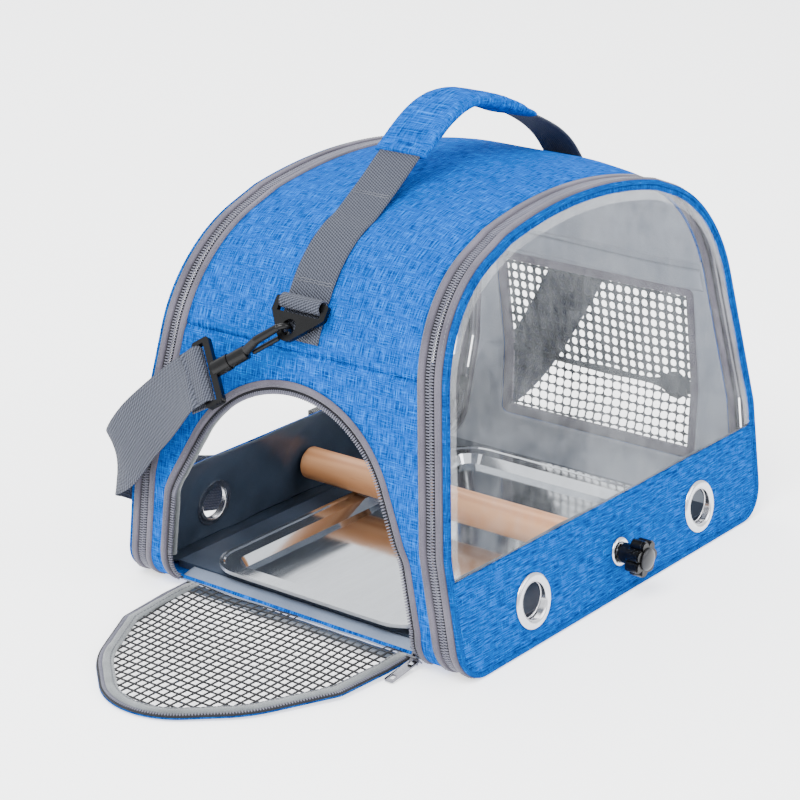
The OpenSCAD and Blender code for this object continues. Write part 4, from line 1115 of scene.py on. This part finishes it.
def netPlace(i, j):
    y = (i - across/2)*w["pitch"]
    z = (w["low"] + w["high"])/2 + (j - up/2)*w["pitch"]
    hold = max(0, 1 - (y/w["half"])**4)
    y += hold*1.8*uneven(y*0.02, z*0.02, 3.0)
    z += hold*1.8*uneven(y*0.02, z*0.02, 7.0)
    return wallPoint(1, y, runAt(z), 1.6 + hold*0.5*uneven(y*0.03, z*0.03, 1.0)), (y, z)


bm = gridMesh(across, up, netPlace)
openCells(bm, w["cord"])
net = makePiece(bm, "endNet", "netGrey", "carrier", ["right_net"])
thicken(net, 0.9, 0.0)
soften(net)

line = windowLine()


def windowSweep(section, line):
    n = len(line)

    def at(i, a, b):
        y, z, ny, nz, run = line[i % n]
        return wallPoint(1, y - ny*a, runAt(z - nz*a), b), run if i < n else run + 600
    return sweepMesh(n, section, at, closed=True)


bm = windowSweep([(0, 3.1), (0, 0.4), (0.5, -0.1), (3.4, -0.15), (6.4, 0.0), (7, 0.5), (7, 2.8), (6.4, 3.3), (3.4, 3.4),
                  (0.6, 3.3)], line)
makePiece(bm, "endNetBinding", "greyBinding", "carrier", ["right_net_binding"])
sewRow("endNetStitches", "threadGrey", "carrier",
       [wallPoint(1, p[0] - p[2]*5.4, runAt(p[1] - p[3]*5.4), -0.15) for p in line], Vector((1, 0, 0.1)))

# Floor cloth: a folded slab under the board
bm = bmesh.new()
bmesh.ops.create_cube(bm, size=1, matrix=Matrix.Diagonal((0.290, 0.2556, 0.0023, 1)))
bmesh.ops.translate(bm, verts=bm.verts, vec=(0, 0, 0.00122))
bmesh.ops.bevel(bm, geom=list(bm.edges), offset=0.0007, offset_type="OFFSET", segments=2, profile=0.5, affect="EDGES",
                material=-1)
layer = bm.loops.layers.uv.new("UVMap")
for f in bm.faces:
    for loop in f.loops:
        loop[layer].uv = (loop.vert.co.x, loop.vert.co.y)
makePiece(bm, "floorCloth", "blueCloth", "carrier", ["floor_cloth"])
print("nets and floor made")

# Handle: webbing over the crown, a padded sleeve round its middle, and the loops that hold the rings
handle = {
    "width": 30, "thick": 1.7, "radius": 88.55, "from": 33.1, "left": 71, "right": 50, "ringRadius": 3.98,
    "bar": (147.99, 198.51), "grip": (111, 236), "gripWidth": 37.5, "gripThick": 9.6,
    "free": [(-86.4, 249), (-74.5, 257), (-63, 265.5), (-51.5, 273.5), (-40, 281), (-28.5, 287.6), (-16, 292),
             (-2, 293.8), (16, 290.6), (36, 284), (56, 276), (75, 267.5), (91.5, 258.5), (105.5, 247.6)],
}


def shoulderSpot(side, radius, degrees):
    t = math.radians(degrees)
    radius += crownPuff(151.5 + radius*math.sin(t))
    return (side*(68.5 + radius*math.cos(t)), 151.5 + radius*math.sin(t))


h = handle
route = [shoulderSpot(-1, h["radius"], h["from"] + k*(h["left"] - h["from"])/5) for k in range(6)]
route += h["free"] + [shoulderSpot(1, h["radius"] + lift, a) for lift, a in
                      ((1.5, h["right"] + 8), (0.3, h["right"] + 2), (0, 46), (0, 39.5), (0, h["from"]))]
handleFine = smoothLine(route, 8)


acrossY = Vector((0, 1, 0))


def stationsOf(rows):
    # stations of a strip whose rows are (x, y, z) and the direction of its width
    out = []
    run = 0.0
    for k, row in enumerate(rows):
        before, after = rows[max(k - 1, 0)][:3], rows[min(k + 1, len(rows) - 1)][:3]
        run += math.dist(row[:3], before)
        t = Vector([b - a for a, b in zip(before, after)]).normalized()
        wide = Vector(row[3:])
        wide = (wide - t*wide.dot(t)).normalized()
        out.append((Vector(row[:3]), wide, t.cross(wide), run))
    return out


def uprightStations(line):
    # stations of a strip that stands in the X-Z plane, its width along Y
    return stationsOf([(x, 0, z, 0, 1, 0) for x, z in line])


def webbingSection(width, thick):
    # selvedges a little rounder than the middle
    w, t = width/2, thick/2
    top = [(w, 0), (w - 0.25, t*0.8), (w - 0.9, t), (w - 2, t*0.94), (w*0.5, t), (0, t), (-w*0.5, t),
           (-w + 2, t*0.94), (-w + 0.9, t), (-w + 0.25, t*0.8)]
    return top + [(-a, -b) for a, b in top]


stations = uprightStations(handleFine)
bm = frameSweep(stations, webbingSection(h["width"], h["thick"]))
makePiece(bm, "handleWebbing", "webbing", "carrier", ["handle_webbing"])
# bar tacks across the webbing: place along it and stagger of the stitches
spots = []
for at, stagger in ((10.0, 0.25), (79.0, 0.25), (stations[-1][3] - 24, 0)):
    c, wide, thick, _ = min(stations, key=lambda s: abs(s[3] - at))
    along = wide.cross(thick)
    for row in (-0.8, 0.8):
        for x in range(-10, 11):
            y = x*1.35
            lift = thick*(h["thick"]/2 + 0.05) + along*(row + stagger*(int(y*10) % 2))
            spots.append((c + wide*y + lift, wide, thick))
makePiece(blocksMesh(spots, (1.2, 0.5, 0.4), 0.12), "handleBarTacks", "threadGrey", "carrier")


def barSpot(side):
    # middle of the bar that the ring hangs on
    return Vector((side*h["bar"][0], 0, h["bar"][1]))


for side, tag in ((-1, "left"), (1, "right")):
    stationsRing = []
    for k in range(30):
        t = math.radians(12*k)
        out = Vector((math.cos(t), 0, math.sin(t)))
        stationsRing.append((barSpot(side) + out*h["ringRadius"], acrossY, out, k*0.83))
    bm = frameSweep(stationsRing, webbingSection(h["width"] - 0.2, 1.3), closed=True)
    tail = [shoulderSpot(side, 87.5 + 0.15 + 0.8, a) for a in range(17, 31, 2)]
    joinInto(bm, frameSweep(uprightStations(tail), webbingSection(h["width"] - 0.2, 1.5)))
    makePiece(bm, tag + "RingLoop", "webbing", "carrier", ["ring_loops"])

# padded sleeve, sewn shut along its top, with a hem at each end
gripLook = {"hem": 7.0, "seam": 3.0, "around": 40}
handleRuns = runsOf(handleFine)
gripFrom, gripTo = h["grip"]
gripPath = [handleFine[min(bisect_left(handleRuns, gripFrom + k*(gripTo - gripFrom)/115), len(handleFine) - 1)]
            for k in range(116)]
gripStations = [(c, out, run) for c, _, out, run in uprightStations(gripPath)]
gripLength = gripStations[-1][2]


def gripPlace(i, j):
    c, out, run = gripStations[i]
    t = math.tau*(j % gripLook["around"])/gripLook["around"]
    co, si = math.cos(t), math.sin(t)
    half, thick = h["gripWidth"]/2, h["gripThick"]/2
    ends = min(run, gripLength - run)
    # hemmed mouth, then the pad swells over its first stretch
    swell = 0.62 + 0.38*within((ends - gripLook["hem"])/9)**0.6
    if ends < 1.2:
        swell *= 0.86 + 0.14*ends/1.2
    if abs(ends - gripLook["hem"]) < 1.1:
        swell -= 0.1
    pinch = 1 - 0.035*math.sin(math.pi*run/gripLength)
    wide = half*pinch*math.copysign(abs(co)**0.55, co)
    high = thick*swell*math.copysign(abs(si)**0.72, si)
    seam = 1.8*math.exp(-((wide - gripLook["seam"])/1.0)**2) if si > 0 and ends > 1 else 0
    side = 0.5*math.exp(-((wide + half*0.55)/1.0)**2) if si < 0 else 0
    crease = 0.55*uneven(run*0.06, wide*0.09, 2.0 if si > 0 else 5.0)
    fine = 0.22*uneven(run*0.25, wide*0.12, 3.0)
    high += (crease + fine - seam - side)*min(1, ends/5)*math.copysign(1, si)*min(1, abs(si)*2)
    return c + acrossY*wide + out*high, (run, j*2.0)


bm = gridMesh(len(gripPath) - 1, gripLook["around"], gripPlace, closeUp=True)
closeEnds(bm)
bmesh.ops.recalc_face_normals(bm, faces=bm.faces)
grip = makePiece(bm, "gripSleeve", "blueCloth", "carrier", ["handle_grip"])
soften(grip)
seamRows = [c + Vector((0, gripLook["seam"] + 2.8, 0)) + out*h["gripThick"]/2*0.99 for c, out, _ in gripStations[8:-8]]
seamOuts = [out for _, out, _ in gripStations[8:-8]]
sewRow("gripStitches", "threadBlue", "carrier", seamRows, seamOuts, 3.2, (2.2, 0.5, 0.4))
print("handle made")

# Shoulder strap: two halves that meet inside the adjuster
strap = {
    "width": 38, "thick": 1.5, "turn": {-1: 40, 1: 62}, "tilt": 34, "drop": 15.5, "eyeY": 3, "hook": 58,
    "meet": (50, 150, 23.6),
    "end": [(18, -1.4), (11, -2.7), (6.6, -3.6), (4, -3.6), (2.2, -2.2), (2, 0), (2.2, 2.2), (4, 3.6), (6.6, 3.6),
            (11, 2.7), (18, 1.4)],
    "rows": [((-181, 88, 122), (0.1, 0.56, 0.82)), ((-181, 106, 104), (0, 0.5, 0.86)),
             ((-179, 121, 85), (0, 0.35, 0.94)), ((-170, 132, 75), (0.2, 0.1, 0.97)),
             ((-153, 138, 66), (0.3, 0, 0.95)), ((-126, 141, 51), (0.3, 0, 0.95)), ((-92, 144, 35), (0.25, 0, 0.97)),
             ((-50, 147, 24), (0.1, 0, 1)), ((0, 149, 22), (0, 0, 1)), ((50, 150, 23.6), (0, 0, 1)),
             ((100, 151, 22), (0, 0, 1)), ((140, 148, 20.5), (0, 0, 1)), ((166, 139, 21.5), (0, -0.1, 1)),
             ((181, 121, 26), (0, 0.2, 0.98)), ((187, 100, 37), (0, 0.5, 0.87)), ((190, 80, 58), (-0.05, 0.72, 0.69)),
             ((193, 62, 86), (-0.1, 0.83, 0.55))],
}


def ringDir(s, v):
    t = math.radians(strap["tilt"])
    return (Vector((0, s, 0))*v[0] + Vector((-s*math.sin(t), 0, math.cos(t)))*v[1]
            + Vector((s*math.cos(t), 0, math.sin(t)))*v[2])


def hookDir(s, v):
    a = math.radians(180 + strap["turn"][s] if s < 0 else -strap["turn"][s])
    return ringDir(s, (v[0]*math.cos(a) - v[1]*math.sin(a), v[0]*math.sin(a) + v[1]*math.cos(a), v[2]))


def hookPoint(s, v):
    return barSpot(s) + ringDir(s, (s*strap["eyeY"], -strap["drop"], 0)) + hookDir(s, v)


def endRows(s):
    return [tuple(hookPoint(s, (strap["hook"] + a, 0, b))) + tuple(hookDir(s, (0, s, 0))) for a, b in strap["end"]]


strapRows = endRows(-1) + [a + b for a, b in strap["rows"]] + endRows(1)[::-1]
strapStations = stationsOf(smoothLine(strapRows, 6))
meet = min(range(60, len(strapStations) - 60), key=lambda i: (strapStations[i][0] - Vector(strap["meet"])).length)
for name, part, body, start, end in (
        ("strapLeftHalf", strapStations[:meet + 1], "left_ring", strapStations[110][0], hookPoint(-1, (52, 0, 0))),
        ("strapRightHalf", strapStations[meet:], "right_ring", strapStations[-110][0], hookPoint(1, (52, 0, 0)))):
    bm = frameSweep(part, webbingSection(strap["width"], strap["thick"]))
    makePiece(bm, name, "webbing", "carrier", ["shoulder_strap"], blend=(body, tuple(start*mm), tuple(end*mm)))
print("strap made, length", round(strapStations[-1][3]), "mm")

# Grey cap in the middle of the perch's knob
low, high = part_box("perch_knob")
bm = bmesh.new()
bmesh.ops.create_uvsphere(bm, u_segments=40, v_segments=20, radius=1)
bmesh.ops.scale(bm, verts=bm.verts, vec=(0.0071, 0.0021, 0.0071))
bmesh.ops.translate(bm, verts=bm.verts, vec=(0, low[1] + 0.0006, (low[2] + high[2])/2))
makePiece(bm, "knobCap", "capPlastic", "perch_knob")

# Finish of the solids that stay
kept = {
    "boardCloth": ["base_board"], "beech": ["perch"], "brightTray": ["tray"],
    "nickel": ["front_eyelets", "back_eyelets", "perch_screw"],
    "darkNickel": ["door_slider", "door_pull", "front_slider", "front_pull", "back_slider", "back_pull"],
    "blackPlastic": ["strap_adjuster", "perch_knob", "left_ring", "left_strap_frame", "left_hook", "left_gate",
                     "right_ring", "right_strap_frame", "right_hook", "right_gate"],
}
for finish, names in kept.items():
    for name in names:
        for holder in nodes[name].material_slots:
            holder.material = materials[finish]
        if not nodes[name].material_slots:
            nodes[name].data.materials.append(materials[finish])
# the tray's outer side is satin, its inside polished
tray = nodes["tray"].data
tray.materials.append(materials["satinTray"])
trayLow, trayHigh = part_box("tray")
trayMiddle = (trayLow + trayHigh)/2
for face in tray.polygons:
    away = Vector(face.center) - trayMiddle
    if abs(face.normal.z) < 0.97 and max(face.normal.x*away.x/trayHigh[0], face.normal.y*away.y/trayHigh[1]) > 0.2:
        face.material_index = len(tray.materials) - 1
print("kept solids finished")

# Camera, floor and light
def aim(thing, way):
    thing.rotation_euler = way.to_track_quat("-Z", "Y").to_euler()


view = {"at": (-1.1578, -0.8559, 0.6121), "along": (0.7435, 0.5782, -0.3363), "lens": 108.3}
cameraData = bpy.data.cameras.new("camera")
camera = addObject("camera", cameraData)
camera.location = view["at"]
aim(camera, Vector(view["along"]))
cameraData.lens = view["lens"]
cameraData.sensor_width = 36
cameraData.clip_start = 0.01
bpy.context.scene.camera = camera

bm = bmesh.new()
bmesh.ops.create_grid(bm, x_segments=4, y_segments=4, size=4)
bmesh.ops.translate(bm, verts=bm.verts, vec=(0, 0, -0.0006))
floor = addObject("floor", meshOf("floor", bm))
floorMaterial, _, _ = newMaterial("paleFloor", {
    "Base Color": (0.97, 0.97, 0.97, 1), "Roughness": 0.9, "Emission Color": (1, 1, 1, 1), "Emission Strength": 1.2,
    "Specular IOR Level": 0.1})
floor.data.materials.append(floorMaterial)

world = bpy.data.worlds.new("studio")
bpy.context.scene.world = world
world.use_nodes = True
sky = world.node_tree.nodes["Background"]
sky.inputs[0].default_value, sky.inputs[1].default_value = (0.96, 0.98, 1.0, 1), 1.9
lampAim = Vector((0, 0, 0.1))
lamps = {
    "key": {"at": (-1.5, -0.4, 2.2), "size": 1.4, "power": 105},
    "side": {"at": (0.6, -2.0, 1.3), "size": 1.3, "power": 30},
    "back": {"at": (0.9, 1.8, 1.9), "size": 1.6, "power": 34},
}
for name, lamp in lamps.items():
    data = bpy.data.lights.new(name, "AREA")
    data.energy, data.size = lamp["power"], lamp["size"]
    light = addObject(name, data)
    light.location = lamp["at"]
    aim(light, lampAim - light.location)
print("camera and light set")
